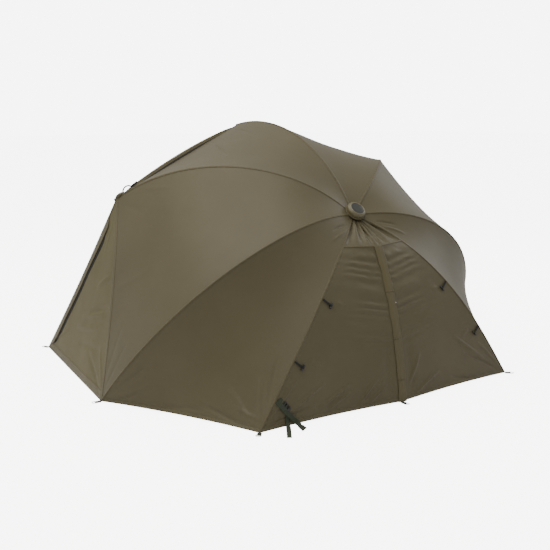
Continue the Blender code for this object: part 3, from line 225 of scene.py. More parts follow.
def laid_sheet(name, columns, rows, place, metres, finish, thickness, away=None):
    """A sheet whose square grid is laid on place(t, u). Returns it and its cut: width, length and area."""
    bm = bmesh.new()
    bmesh.ops.create_grid(bm, x_segments=columns, y_segments=rows, size=0.5)
    flat = np.array([v.co for v in bm.verts])
    t, u = np.clip(flat[:, 0] + 0.5, 0, 1), np.clip(flat[:, 1] + 0.5, 0, 1)
    uv = metres(t, u)
    uv_map = bm.loops.layers.uv.new("cloth_metres")
    for face in bm.faces:
        for loop in face.loops:
            loop[uv_map].uv = uv[loop.vert.index]
    for v, point in zip(bm.verts, place(t, u)):
        v.co = point
    bm.normal_update()
    facing = 0.0
    for face in bm.faces:
        middle = face.calc_center_median()
        facing += face.normal.dot(away or middle - Vector(inside_point)) * face.calc_area()
    if facing < 0.0:
        bmesh.ops.reverse_faces(bm, faces=bm.faces)
    area = sum(face.calc_area() for face in bm.faces)
    mesh = bpy.data.meshes.new(name)
    bm.to_mesh(mesh)
    bm.free()
    mesh.shade_smooth()
    mesh.materials.append(finish)
    piece = bpy.data.objects.new(name, mesh)
    bpy.context.scene.collection.objects.link(piece)
    solid = piece.modifiers.new("thickness", "SOLIDIFY")
    solid.thickness = thickness
    solid.offset = -1.0
    fixed = bpy.data.meshes.new_from_object(piece.evaluated_get(bpy.context.evaluated_depsgraph_get()))
    fixed.name = name
    piece.modifiers.clear()
    piece.data = fixed
    width, length = np.ptp(uv[:, 0]), np.ptp(uv[:, 1])
    return piece, (width, length, min(area, width * length))


weave_pitch = 0.0011
stitch_pitch, stitch_half, stitch_hole_half = 0.0042, 0.0006, 0.0016


def cloth_finish(name, light, deep, roughness, stitch_rows=()):
    """Woven cloth, with rows of stitches at given distances from the middle of a strip."""
    made, shader = plain_finish(name, light, roughness)
    nodes, links = made.node_tree.nodes, made.node_tree.links

    def figure(operation, first, second=0.0):
        new = nodes.new("ShaderNodeMath")
        new.operation = operation
        for socket, value in zip(new.inputs, (first, second)):
            if isinstance(value, (int, float)):
                socket.default_value = value
            else:
                links.new(value, socket)
        return new.outputs[0]

    place = nodes.new("ShaderNodeTexCoord")
    apart = nodes.new("ShaderNodeSeparateXYZ")
    links.new(place.outputs["UV"], apart.inputs[0])
    across, along = apart.outputs["X"], apart.outputs["Y"]
    warp = figure("SINE", figure("MULTIPLY", across, 2 * math.pi / weave_pitch))
    weft = figure("SINE", figure("MULTIPLY", along, 2 * math.pi / weave_pitch))
    height = figure("MULTIPLY", figure("MULTIPLY", warp, weft), 0.25)

    def patches(scale, detail):
        new = nodes.new("ShaderNodeTexNoise")
        new.inputs["Scale"].default_value = scale
        new.inputs["Detail"].default_value = detail
        links.new(place.outputs["Object"], new.inputs["Vector"])
        return new.outputs["Fac"]

    grain = patches(180.0, 2.0)
    tone = figure("ADD", figure("MULTIPLY", patches(2.2, 4.0), 0.75), figure("MULTIPLY", grain, 0.25))
    ramp = nodes.new("ShaderNodeValToRGB")
    for element, position, color in zip(ramp.color_ramp.elements, (0.36, 0.64), (deep, light)):
        element.position = position
        element.color = (*color, 1.0)
    links.new(tone, ramp.inputs["Fac"])
    color = ramp.outputs["Color"]

    for distance in stitch_rows:
        aside = figure("ABSOLUTE", figure("SUBTRACT", figure("ABSOLUTE", across), distance))
        beat = figure("LESS_THAN", figure("FRACT", figure("DIVIDE", along, stitch_pitch)), 0.68)
        stitch = figure("MULTIPLY", figure("LESS_THAN", aside, stitch_half), beat)
        mix = nodes.new("ShaderNodeMix")
        mix.data_type = "RGBA"
        mix.inputs["B"].default_value = (*(0.45 * c for c in deep), 1.0)
        links.new(figure("MULTIPLY", stitch, 0.8), mix.inputs["Factor"])
        links.new(color, mix.inputs["A"])
        color = mix.outputs["Result"]
        dent = figure("LESS_THAN", aside, stitch_hole_half)
        dip = figure("SUBTRACT", figure("MULTIPLY", stitch, 1.6), dent)
        height = figure("ADD", height, dip)

    links.new(color, shader.inputs["Base Color"])
    bump = nodes.new("ShaderNodeBump")
    bump.inputs["Strength"].default_value = 0.22
    bump.inputs["Distance"].default_value = 0.0004
    links.new(height, bump.inputs["Height"])
    links.new(bump.outputs["Normal"], shader.inputs["Normal"])
    spread = nodes.new("ShaderNodeMapRange")
    spread.inputs["To Min"].default_value = roughness - 0.05
    spread.inputs["To Max"].default_value = roughness + 0.07
    links.new(grain, spread.inputs["Value"])
    links.new(spread.outputs["Result"], shader.inputs["Roughness"])
    shader.inputs["Specular IOR Level"].default_value = 0.28
    shader.inputs["Sheen Weight"].default_value = 0.03
    shader.inputs["Sheen Roughness"].default_value = 0.5
    return made


olive, deep_olive = (0.088, 0.075, 0.040), (0.076, 0.064, 0.0325)
nylon = cloth_finish("olive_nylon", olive, deep_olive, 0.47)


def gore_shape(first, second, edge_curve, sag=0.016):
    """Straight lines from seam to seam, hollowed inwards, with the outer edge curved in."""

    def shape(t, u):
        hollow = 4 * t * (1 - t)
        trim = 1.0 - edge_curve * hollow * u
        a, b = first.seam(u * trim), second.seam(u * trim)
        point = a + (b - a) * t[:, None]
        inward = under_hub - point
        inward /= np.linalg.norm(inward, axis=1)[:, None]
        return point + inward * (sag * hollow * np.sin(math.pi * u))[:, None]

    return shape


hill_pitch, small_hill_pitch, calm_edge = 0.33, 0.12, 0.07
pucker_pitch, pucker_height, pucker_reach = 0.034, 0.0006, 0.018


def slack(creases, seed, billow=0.0035, long=1.6, more=None):
    """Hills where cloth is slack, puckers by the seams, and creases: start, end, half width, depth."""

    def relief(t, u, width, points):
        edge = np.minimum(t, 1 - t) * width
        hills = speckle(points, hill_pitch, seed) * billow
        hills = hills + speckle(points, small_hill_pitch, seed + 5) * billow / 4
        height = hills * (1 - np.exp(-edge / calm_edge)) * np.clip((1 - u) / 0.03, 0, 1)
        along = u * long
        beat = speckle(np.stack([along, 0 * t, t], axis=1), 0.05, seed + 9)
        pucker = np.sin(2 * math.pi * along / pucker_pitch + 3 * beat) * np.clip(beat + 0.55, 0, 1)
        height += pucker_height * pucker * np.exp(-edge / pucker_reach)
        widest = width.max()
        for (t0, u0), (t1, u1), half, depth in creases:
            wide = widest * (0.1 + 0.9 * (u0 + u1) / 2)
            x, y = (t - t0) * np.maximum(width, 0.1 * widest), (u - u0) * long
            run = np.array([(t1 - t0) * wide, (u1 - u0) * long])
            reach = np.linalg.norm(run)
            run /= reach
            share = (x * run[0] + y * run[1]) / reach
            bow = 0.03 * reach * np.sin(math.pi * np.clip(share, 0, 1)) * math.sin(seed + 9 * t0)
            aside = y * run[0] - x * run[1] - bow
            fade = np.sin(math.pi * np.clip(share, 0, 1)) ** 0.7
            height += depth * fade * np.exp(-((aside / half) ** 2))
        if more is not None:
            height += more(t, u, width)
        return height

    return relief


# Each gore's two ribs, how far its outer edge curves in, and the rib that carries it.
gores = {
    "front_panel": ("front", "shoulder", 0.0, "shoulder"),
    "side_panel": ("shoulder", "side", 0.020, "side"),
    "rear_side_panel": ("side", "rear", 0.008, "side"),
}
gore_creases = {
    "front_panel": [
        ((0.30, 0.94), (0.62, 0.62), 0.011, -0.0035),
        ((0.58, 0.985), (0.84, 0.72), 0.012, -0.0025),
        ((0.12, 0.96), (0.22, 0.70), 0.010, -0.0025),
        ((0.90, 0.97), (0.80, 0.80), 0.009, 0.0025),
    ],
    "side_panel": [
        ((0.97, 0.98), (0.86, 0.86), 0.012, -0.0025),
        ((0.92, 0.985), (0.72, 0.90), 0.014, -0.002),
        ((0.05, 0.97), (0.20, 0.84), 0.012, -0.0025),
        ((0.50, 0.985), (0.55, 0.80), 0.018, 0.002),
        ((0.02, 0.90), (0.10, 0.72), 0.008, 0.002),
    ],
    "rear_side_panel": [
        ((0.95, 0.985), (0.72, 0.86), 0.011, 0.0065),
        ((0.98, 0.965), (0.86, 0.80), 0.008, 0.0055),
        ((0.93, 0.992), (0.60, 0.94), 0.010, -0.0065),
        ((0.97, 0.955), (0.78, 0.925), 0.007, 0.0045),
        ((0.99, 0.93), (0.90, 0.72), 0.007, -0.004),
        ((0.04, 0.985), (0.24, 0.90), 0.012, 0.005),
        ((0.03, 0.955), (0.12, 0.82), 0.009, -0.004),
        ((0.38, 0.985), (0.64, 0.965), 0.009, -0.005),
        ((0.92, 0.10), (0.70, 0.20), 0.008, 0.0045),
        ((0.78, 0.07), (0.55, 0.15), 0.008, -0.004),
    ],
}
nylon_thickness = 0.0007
cloths, sheets, cuts, with_sheet = {}, {}, {}, {}


def panel_sheet(kind, hand, columns, rows, cloth, finish):
    """A panel's sheet, in the place of its plain solid and noted for the tapes and hems sewn to it."""

    def metres(t, u):
        return np.stack([(t - 0.5) * cloth.width(u), u * cloth.length], axis=1)

    piece, cut = laid_sheet(
        f"{kind}_cloth_{hand}", columns, rows, cloth.at, metres, finish, nylon_thickness
    )
    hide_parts(f"{kind}_{hand}")
    cloths[kind, hand], sheets[kind, hand], cuts[kind, hand] = cloth, piece, cut
    with_sheet[kind, hand] = []
    return piece


def hang_on_rib(piece, place, hand):
    """A piece of cloth goes with one rib."""
    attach(piece, f"{place}_rib_{hand}" if hand else f"{place}_rib")
    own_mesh(piece)


for hand, side in (("left", 1), ("right", -1)):
    for kind, (one, other, curve, carrier) in gores.items():
        first = ribs["front"] if one == "front" else ribs[f"{one}_{hand}"]
        shape = gore_shape(first, ribs[f"{other}_{hand}"], curve)
        cloth = Cloth(shape, slack(gore_creases[kind], 11.0 + 7 * side + len(kind)))
        hang_on_rib(panel_sheet(kind, hand, 90, 150, cloth, nylon), carrier, hand)


# Storm sides. Two flat triangles of the same nylon close the gaps between the shoulder ribs and the
# ground. Each is sewn to its side panel's edge and pegged at its front corner. Their cloth is painted
# a yellower and slightly lighter olive than the roof's, for the light that falls on them without the
# roof's grey sheen.
corner_aside, corner_ahead = 1.079, 1.106
storm_corners = {
    "left": np.array([corner_aside, -corner_ahead, hem_height]),
    "right": np.array([-corner_aside, -corner_ahead, hem_height]),
}
storm_first, seam_curve, front_curve, seam_gap = 0.012, 0.020, 0.022, 0.0018


def storm_shape(hand):
    """Straight lines from the side panel's edge to a front edge that is curved in a little."""
    shoulder, ground = ribs[f"shoulder_{hand}"], ribs[f"side_{hand}"]
    tip, foot = shoulder.seam(1.0), ground.seam(1.0)
    corner = storm_corners[hand]
    inwards = (foot - corner) / np.linalg.norm(foot - corner)

    def shape(t, u):
        v = storm_first + (1 - storm_first) * u
        trim = 1.0 - seam_curve * 4 * v * (1 - v)
        a, b = shoulder.seam(trim), ground.seam(trim)
        seam = a + (b - a) * v[:, None]
        front = tip + np.multiply.outer(v, corner - tip)
        front += np.multiply.outer(front_curve * np.sin(math.pi * v), inwards)
        ahead = front - seam
        ahead /= np.maximum(np.linalg.norm(ahead, axis=1), 1e-9)[:, None]
        seam = seam + ahead * seam_gap
        return seam + (front - seam) * t[:, None]

    return shape


# Painted light: the same nylon, tinted yellower and lighter for the light on the storm sides.
storm_light_tint_nylon = cloth_finish("olive_storm_nylon", (0.094, 0.079, 0.029), (0.082, 0.068, 0.024), 0.55)
storm_creases = [
    ((0.04, 0.58), (0.46, 0.66), 0.016, -0.008),
    ((0.14, 0.62), (0.60, 0.70), 0.013, 0.009),
    ((0.22, 0.70), (0.66, 0.76), 0.013, 0.009),
    ((0.10, 0.80), (0.52, 0.84), 0.016, -0.007),
    ((0.08, 0.42), (0.42, 0.50), 0.014, 0.006),
    ((0.03, 0.985), (0.30, 0.84), 0.014, -0.005),
    ((0.02, 0.955), (0.12, 0.78), 0.010, 0.004),
    ((0.97, 0.98), (0.80, 0.80), 0.014, 0.005),
    ((0.90, 0.985), (0.55, 0.90), 0.014, -0.004),
    ((0.40, 0.10), (0.50, 0.34), 0.010, 0.002),
]


def hang_on_storm(piece, hand):
    """Storm side cloth goes with the storm side, which swings in about the shoulder tip to side foot line.
    """
    tip, foot = ribs[f"shoulder_{hand}"].seam(1.0), ribs[f"side_{hand}"].seam(1.0)
    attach(piece, f"storm_side_{hand}")
    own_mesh(piece)


for hand, side in (("left", 1), ("right", -1)):
    cloth = Cloth(storm_shape(hand), slack(storm_creases, 4.0 + side, billow=0.006, long=1.2))
    hang_on_storm(panel_sheet("storm_side", hand, 80, 90, cloth, storm_light_tint_nylon), hand)


# Rear panel. Two halves of the same nylon meet at a zip that runs from the hem to a cross seam.
# Above that seam the cloth is gathered in soft pleats under the cap, and beside the zip its stiff
# tape puckers it.
cross_seam = 0.20
zip_top, zip_foot = np.array([0.871, 0.812]), np.array([1.088, 0.006])
zip_bow = 0.040
zip_chord = np.linalg.norm(zip_foot - zip_top)
zip_radius = zip_chord**2 / (8 * zip_bow) + zip_bow / 2
zip_side = np.array([zip_top[1] - zip_foot[1], zip_foot[0] - zip_top[0]]) / zip_chord
zip_centre = (zip_top + zip_foot) / 2 - zip_side * (zip_radius - zip_bow)
zip_angles = [math.atan2(*(end - zip_centre)[::-1]) for end in (zip_top, zip_foot)]
zip_length = zip_radius * (zip_angles[0] - zip_angles[1])


def zip_angle(share):
    return zip_angles[0] + (zip_angles[1] - zip_angles[0]) * share


def zip_line(share, lift=0.0, x=0.0):
    """Points on the zip, from the cross seam at 0 to the hem at 1, lifted off the cloth."""
    share = np.asarray(share, float)
    angle = zip_angle(share)
    reach = zip_radius + lift
    back, height = zip_centre[0] + reach * np.cos(angle), zip_centre[1] + reach * np.sin(angle)
    return np.stack([x + 0 * share, back, height], axis=-1)


def rear_middle(share):
    """Points of the line where the halves meet: the zip, and above it the collar's middle seam."""
    share = np.asarray(share, float)
    low = zip_line(np.clip((share - cross_seam) / (1 - cross_seam), 0, 1))
    high = ribs["rear_left"].seam(share)
    level = ribs["rear_left"].seam(cross_seam)
    swelling = zip_line(0.0) - level
    high = high + np.multiply.outer((share / cross_seam) ** 2, swelling)
    middle = np.where((share >= cross_seam)[..., None], low, high)
    return middle * np.array([0.0, 1.0, 1.0])


rear_curve, half_gap = 0.008, 0.0006


def rear_shape(side, hand):
    """Straight lines from the rear rib to the middle line."""
    rib = ribs[f"rear_{hand}"]

    def shape(t, u):
        trim = 1.0 - rear_curve * 4 * t * (1 - t) * u
        a, b = rib.seam(u * trim), rear_middle(u * trim)
        b = b + np.array([side * half_gap, 0.0, 0.0])
        return a + (b - a) * t[:, None]

    return shape


def smooth_step(x):
    x = np.clip(x, 0, 1)
    return x * x * (3 - 2 * x)


pleat_depth, pleats_per_half = 0.016, 2.6
zip_pucker_pitch, zip_pucker_height, low_hollow = 0.066, 0.0066, 0.005
rear_long = 1.35


def zip_wave(along):
    """The beat of the puckers that the stiff tape leaves, by metres along the zip."""
    points = np.stack([along, 0 * along, 0 * along], axis=1)
    return np.sin(2 * math.pi * along / zip_pucker_pitch + 5.0 * speckle(points, 0.15, 3.0))


def rear_gathers(t, u, width):
    """The collar's pleats above the cross seam, and the puckers beside the zip."""
    high = np.clip(u / cross_seam, 0, 1)
    deep = np.sin(math.pi * high**0.85) ** 0.9 * np.clip(width / 0.06, 0, 1)
    turn = pleats_per_half * t + 0.2 * np.sin(6 * t + 1) + 0.5 * high * (t - 0.5)
    fold = 0.5 - 0.5 * np.cos(2 * math.pi * turn)
    height = -pleat_depth * deep * fold * smooth_step(t / 0.08) * smooth_step((1 - t) / 0.10)
    span = np.clip((u - 0.205) / 0.60, 0, 1)
    aside = (1 - t) * width
    along = u * rear_long + 0.16 * aside
    reach = smooth_step((aside - 0.020) / 0.030) * np.exp(-(((aside - 0.05) / 0.190) ** 2))
    uneven = speckle(np.stack([along, 0.5 * t, 0 * u], axis=1), 0.11, 7.0)
    strong = np.sin(math.pi * span**0.55) * np.clip(0.60 + 0.9 * uneven, 0.10, 1.1)
    height = height + zip_pucker_height * zip_wave(along + 0.010 * uneven) * reach * strong
    low = smooth_step((u - 0.62) / 0.2) * np.exp(-(((aside - 0.075) / 0.030) ** 2))
    return height - low_hollow * low * smooth_step((1 - u) / 0.1)


toggle_levels = {"upper": 0.463, "lower": 0.724}
calm_aside, calm_half, calm_below, calm_share, calm_hollow = 0.045, 0.066, 0.012, 0.058, 0.0016


def calm_by_toggles(relief):
    """Lays the cloth flat where the toggles hang, so their bars swing clear of it."""

    def calmed(t, u, width, points):
        height = relief(t, u, width, points)
        for level in toggle_levels.values():
            across = ((t * width - calm_aside) / calm_half) ** 4
            near = np.exp(-across - ((u - level - calm_below) / calm_share) ** 4)
            height = height * (1 - near) - calm_hollow * near
        return height

    return calmed


rear_creases = {
    "left": [
        ((0.10, 0.97), (0.34, 0.84), 0.012, 0.008),
        ((0.04, 0.985), (0.30, 0.93), 0.011, -0.007),
        ((0.03, 0.96), (0.10, 0.80), 0.007, 0.007),
        ((0.36, 0.955), (0.56, 0.865), 0.009, 0.009),
        ((0.42, 0.975), (0.58, 0.905), 0.008, 0.008),
        ((0.66, 0.985), (0.80, 0.86), 0.009, 0.009),
        ((0.74, 0.985), (0.88, 0.90), 0.008, 0.008),
        ((0.14, 0.46), (0.34, 0.50), 0.010, 0.004),
        ((0.12, 0.72), (0.28, 0.76), 0.010, 0.004),
    ],
    "right": [
        ((0.14, 0.90), (0.34, 0.74), 0.013, 0.008),
        ((0.06, 0.97), (0.30, 0.84), 0.012, -0.008),
        ((0.03, 0.95), (0.12, 0.80), 0.008, 0.006),
        ((0.62, 0.90), (0.90, 0.985), 0.009, 0.008),
        ((0.78, 0.78), (0.94, 0.93), 0.010, 0.007),
        ((0.30, 0.985), (0.52, 0.95), 0.009, -0.007),
        ((0.14, 0.46), (0.32, 0.49), 0.010, 0.004),
        ((0.12, 0.72), (0.26, 0.75), 0.010, 0.004),
    ],
}
for hand, side in (("left", 1), ("right", -1)):
    relief = slack(rear_creases[hand], 21.0 + 3 * side, billow=0.0045, long=rear_long, more=rear_gathers)
    cloth = Cloth(rear_shape(side, hand), calm_by_toggles(relief))
    hang_on_rib(panel_sheet("rear_panel", hand, 110, 190, cloth, nylon), "rear", hand)


# Front peaks. A lens of doubled cloth is sewn along each half of the front edge and stands up off
# it, so rain runs off sideways. Its upper edge is bound with a narrow tape. The lens is painted
# darker than the roof nylon as shade, the binding is painted pale as a highlight along the top, and
# a near-black strip low on the lens is painted shadow in the crease where it rises off the panel.
# Painted shade: the peak cloth is a darker copy of the olive nylon, standing in for the shade on it.
shaded_peak_cloth = cloth_finish("olive_shaded_peak_cloth", (0.070, 0.058, 0.025), (0.056, 0.046, 0.019), 0.55)
# Painted highlight: the bound edge is real, and its pale colour stands in for light along the peak's top.
binding = cloth_finish("binding_painted_highlight", (0.165, 0.142, 0.078), (0.140, 0.120, 0.064), 0.5)
# Painted shadow: near-black cloth laid where there is only shadow, low on each front peak and under the free
# side of each storm facing.
painted_shadow_nylon = cloth_finish("painted_shadow_tape_finish", (0.010, 0.008, 0.005), (0.007, 0.006, 0.004), 0.8)
doubled_thickness, binding_thickness, thin_thickness = 0.0012, 0.0022, 0.0006
peak_width, peak_length = 0.034, 1.3
peak_root, peak_tilt = 0.94, math.radians(50.0)
peak_out = Vector(pole_up - frontwards)
trim_lift = np.array(peak_out.normalized()) * 0.0008


def peak_shape(side, hand):
    """A lens along half of the front edge, which stands up steeper than the cloth behind it."""
    front, shoulder = ribs["front"], ribs[f"shoulder_{hand}"]
    run = shoulder.seam(1.0) - front.seam(1.0)
    run /= np.linalg.norm(run)

    def shape(t, u):
        s = 0.06 + 0.88 * t
        edge = front.seam(1.0) + np.multiply.outer(s, shoulder.seam(1.0) - front.seam(1.0))
        root, end = front.seam(peak_root), shoulder.seam(peak_root)
        along = edge - (root + np.multiply.outer(s, end - root))
        along /= np.linalg.norm(along, axis=1)[:, None]
        up = np.cross(run, along) * side
        up *= np.sign(up[:, 2])[:, None]
        width = peak_width * np.sin(math.pi * np.clip(t, 0.001, 0.999)) ** 0.6
        rise = peak_tilt + 0.25 * (u - 0.5)
        way = along * np.cos(rise)[:, None] + up * np.sin(rise)[:, None]
        ripple = 0.0012 * np.sin(2 * math.pi * 5 * t) * u
        return edge + along * 0.0004 + way * (width * u)[:, None] + along * ripple[:, None]

    return shape


def peak_metres(t, u):
    return np.stack([(u - 0.5) * peak_width, t * peak_length], axis=1)


def peak_strip(name, hand, rows, place, finish, thickness):
    """A strip along a peak, which folds with the shoulder rib."""
    piece, cut = laid_sheet(
        f"front_peak_{name}_{hand}", 140, rows, place, peak_metres, finish, thickness, peak_out
    )
    hang_on_rib(piece, "shoulder", hand)
    return piece, cut


for hand, side in (("left", 1), ("right", -1)):
    lens = peak_shape(side, hand)

    def bound_edge(t, u):
        return lens(t, 0.72 + 0.34 * u) + trim_lift

    # Painted shadow: a near-black strip low on the lens, where it rises off the panel.
    def peak_root_shadow_place(t, u):
        return lens(0.10 + 0.76 * t, 0.02 + 0.44 * u * np.sin(math.pi * t) ** 0.5) + trim_lift

    peak, (width, length, area) = peak_strip("cloth", hand, 8, lens, shaded_peak_cloth, doubled_thickness)
    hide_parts(f"front_peak_{hand}")
    edge, _ = peak_strip("binding", hand, 3, bound_edge, binding, binding_thickness)
    # The near-black strip made here is painted shadow.
    root, _ = peak_strip("tape", hand, 3, peak_root_shadow_place, painted_shadow_nylon, thin_thickness)


# Seam tapes. A folded tape of the same cloth covers each seam and is sewn through with two rows of
# stitches. The rib beneath rounds its back, so the seams read as raised lines.
tape_width, shoulder_flare = 0.016, 0.012
tape_nylon = cloth_finish("olive_seam_tape", (0.092, 0.076, 0.036), deep_olive, 0.5, stitch_rows=(0.0050,))


def seam_tape(name, one, other, rows, flare=0.0, reach=1.0):
    """A strip down a seam of two cloths, each given with the end of its t that meets."""

    def place(t, u):
        u = u * reach
        width = tape_width + flare * u**3
        x = (t - 0.5) * width
        halves = []
        for cloth, end in (one, other):
            inner = np.minimum(np.abs(x) / np.maximum(cloth.width(u), 0.02), 0.45)
            lift = 0.0011 + 0.0010 * np.cos(math.pi * x / width) ** 2
            halves.append(cloth.at(end + (1 - 2 * end) * inner, u, lift))
        return np.where((x < 0)[:, None], halves[0], halves[1])

    def metres(t, u):
        return np.stack([(t - 0.5) * tape_width, u * reach * one[0].length], axis=1)

    piece, _ = laid_sheet(name, 6, rows, place, metres, tape_nylon, nylon_thickness)
    return piece


front_halves = [(cloths["front_panel", hand], 0) for hand in ("right", "left")]
tape = seam_tape("seam_tape_front", *front_halves, 260)
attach(tape, "front_rib")
with_sheet["front_panel", "left"].append(tape)
collar_halves = [(cloths["rear_panel", hand], 1) for hand in ("right", "left")]
tape = seam_tape("seam_tape_collar", *collar_halves, 60, reach=cross_seam)
hang_on_rib(tape, "rear", "left")
with_sheet["rear_panel", "left"].append(tape)
for hand in ("left", "right"):
    for place, before, after, owner in (
        ("shoulder", "front_panel", "side_panel", "front_panel"),
        ("side", "side_panel", "rear_side_panel", "side_panel"),
        ("rear", "rear_side_panel", "rear_panel", "rear_panel"),
    ):
        one, other = (cloths[before, hand], 1), (cloths[after, hand], 0)
        flare = shoulder_flare if place == "shoulder" else 0.0
        tape = seam_tape(f"seam_tape_{place}_{hand}", one, other, 300, flare)
        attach(tape, f"{place}_rib_{hand}")
        with_sheet[owner, hand].append(tape)


# Hems. The outer edges are turned over and sewn down twice. Down the front edge of each storm side
# a broad facing is folded back, and its free side gapes a little. Under the free side lies a
# near-black strip, which is painted shadow in the gap.
hem_nylon = cloth_finish("olive_hem", (0.104, 0.087, 0.043), olive, 0.5, stitch_rows=(0.0065, 0.0040))
hem_widths = {"front_panel": 0.016, "side_panel": 0.014, "rear_side_panel": 0.020, "rear_panel": 0.020}
storm_hem_width, side_hem_over, folded_thickness = 0.046, 0.0065, 0.0008
narrow_facing, gaping_facing, facing_cut = 0.018, 0.066, 0.050


def hem_strip(name, cloth, width, rows, lift=0.0009, over=0.0):
    """A strip along the bottom of a cloth, which may reach a little past its edge."""

    def place(t, u):
        return cloth.at(u, 1 - (t * (width + over) - over) / cloth.length, lift)

    def metres(t, u):
        return np.stack([(t - 0.5) * (width + over), u * cloth.width(1.0)[0]], axis=1)

    piece, _ = laid_sheet(name, 4, rows, place, metres, hem_nylon, folded_thickness)
    return piece


def gaping(u):
    """How far the facing gapes, from 0 to 1, down the front edge of a storm side."""
    return smooth_step((u - 0.08) / 0.10) * smooth_step((0.985 - u) / 0.05)


def facing_width(u):
    return narrow_facing + gaping_facing * gaping(u)


def in_from_front(cloth, aside, u, lift):
    """Points of a storm side's cloth, some way in from its front edge."""
    inner = np.minimum(aside / np.maximum(cloth.width(u), 0.02), 0.6)
    return cloth.at(1 - inner, u, lift)


for hand in ("left", "right"):
    for kind, width in hem_widths.items():
        over = side_hem_over if kind == "side_panel" else 0.0
        strip = hem_strip(f"{kind}_hem_{hand}", cloths[kind, hand], width, 160, 0.0011, over)
        hang_on_rib(strip, gores[kind][3] if kind in gores else "rear", hand)
        with_sheet[kind, hand].append(strip)
    cloth = cloths["storm_side", hand]

    def facing_place(t, u):
        rise = 0.0040 * gaping(u) * smooth_step(t) + 0.0016 * np.sin(math.pi * t)
        return in_from_front(cloth, facing_width(u) * t, u, 0.0012 + rise)

    # Painted shadow: a near-black strip under the facing's free side, where the gap is in shade.
    def under_facing_shadow_place(t, u):
        shown = smooth_step(np.minimum(u, 1 - u) / 0.10)
        u = 0.19 + 0.785 * u
        return in_from_front(cloth, facing_width(u) - 0.008 + (0.006 + 0.034 * shown) * t, u, 0.0010)

    def facing_metres(t, u):
        return np.stack([(t - 0.5) * facing_cut, u * cloth.length], axis=1)

    facing, _ = laid_sheet(
        f"storm_side_facing_{hand}", 8, 150, facing_place, facing_metres,
        hem_nylon, folded_thickness,
    )
    # The near-black strip under the facing is painted shadow.
    painted_facing_shadow, _ = laid_sheet(
        f"storm_side_edge_tape_{hand}", 4, 150, under_facing_shadow_place, facing_metres,
        painted_shadow_nylon, thin_thickness,
    )
    for strip in (facing, painted_facing_shadow, hem_strip(f"storm_side_hem_{hand}", cloth, storm_hem_width, 140)):
        hang_on_storm(strip, hand)
        with_sheet["storm_side", hand].append(strip)


# Cross seam. A narrow tape of the same cloth is sewn over the gathers, where the pleated collar
# meets the flat rear panel. Its two halves end at the top of the zip.
cross_tape_width, cross_tape_length = 0.014, 0.18


def cross_metres(t, u):
    return np.stack([(t - 0.5) * cross_tape_width, u * cross_tape_length], axis=1)


for hand in ("left", "right"):
    cloth = cloths["rear_panel", hand]

    def across_rear(t, u):
        return cloth.at(u, cross_seam + (t - 0.5) * cross_tape_width / cloth.length, 0.0014)

    strip, _ = laid_sheet(
        f"cross_seam_tape_{hand}", 4, 60, across_rear, cross_metres,
        tape_nylon, folded_thickness,
    )
    hang_on_rib(strip, "rear", hand)
    with_sheet["rear_panel", hand].append(strip)


# Rear zip. A coil of black plastic on a tape of dark green webbing, sewn between the two halves of
# the rear panel from the hem to the cross seam.
webbing = cloth_finish("dark_green_webbing", (0.040, 0.050, 0.030), (0.030, 0.038, 0.022), 0.75)


def mottled_finish(name, light, deep, roughness, metallic=0.0, scale=300.0, bump=0.1):
    """A finish with fine unevenness in colour, gloss and surface, fixed to the piece."""
    made, shader = plain_finish(name, light, roughness, metallic)
    nodes, links = made.node_tree.nodes, made.node_tree.links
    place = nodes.new("ShaderNodeTexCoord")
    noise_node = nodes.new("ShaderNodeTexNoise")
    noise_node.inputs["Scale"].default_value = scale
    noise_node.inputs["Detail"].default_value = 4.0
    links.new(place.outputs["Object"], noise_node.inputs["Vector"])
    ramp = nodes.new("ShaderNodeValToRGB")
    ramp.color_ramp.elements[0].position, ramp.color_ramp.elements[1].position = 0.35, 0.65
    ramp.color_ramp.elements[0].color, ramp.color_ramp.elements[1].color = (*deep, 1.0), (*light, 1.0)
    links.new(noise_node.outputs["Fac"], ramp.inputs["Fac"])
    links.new(ramp.outputs["Color"], shader.inputs["Base Color"])
    spread = nodes.new("ShaderNodeMapRange")
    spread.inputs["To Min"].default_value = roughness - 0.06
    spread.inputs["To Max"].default_value = roughness + 0.08
    links.new(noise_node.outputs["Fac"], spread.inputs["Value"])
    links.new(spread.outputs["Result"], shader.inputs["Roughness"])
    rise = nodes.new("ShaderNodeBump")
    rise.inputs["Strength"].default_value = bump
    rise.inputs["Distance"].default_value = 0.0003
    links.new(noise_node.outputs["Fac"], rise.inputs["Height"])
    links.new(rise.outputs["Normal"], shader.inputs["Normal"])
    return made


black_plastic = mottled_finish("black_plastic", (0.014, 0.014, 0.014), (0.010, 0.010, 0.010), 0.42)


zip_tape_width = 0.030
zip_out = Vector((0, 1, 0.3))


def zip_tape_place(t, u):
    return zip_line(u, 0.0012) + np.multiply.outer((t - 0.5) * zip_tape_width, sideways)


def zip_metres(t, u):
    return np.stack([(t - 0.5) * zip_tape_width, u * zip_length], axis=1)


zip_tape, (width, length, area) = laid_sheet(
    "zip_tape_cloth", 6, 160, zip_tape_place, zip_metres, webbing, folded_thickness, zip_out
)
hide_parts("zip_tape")
hang_on_rib(zip_tape, "rear", "left")

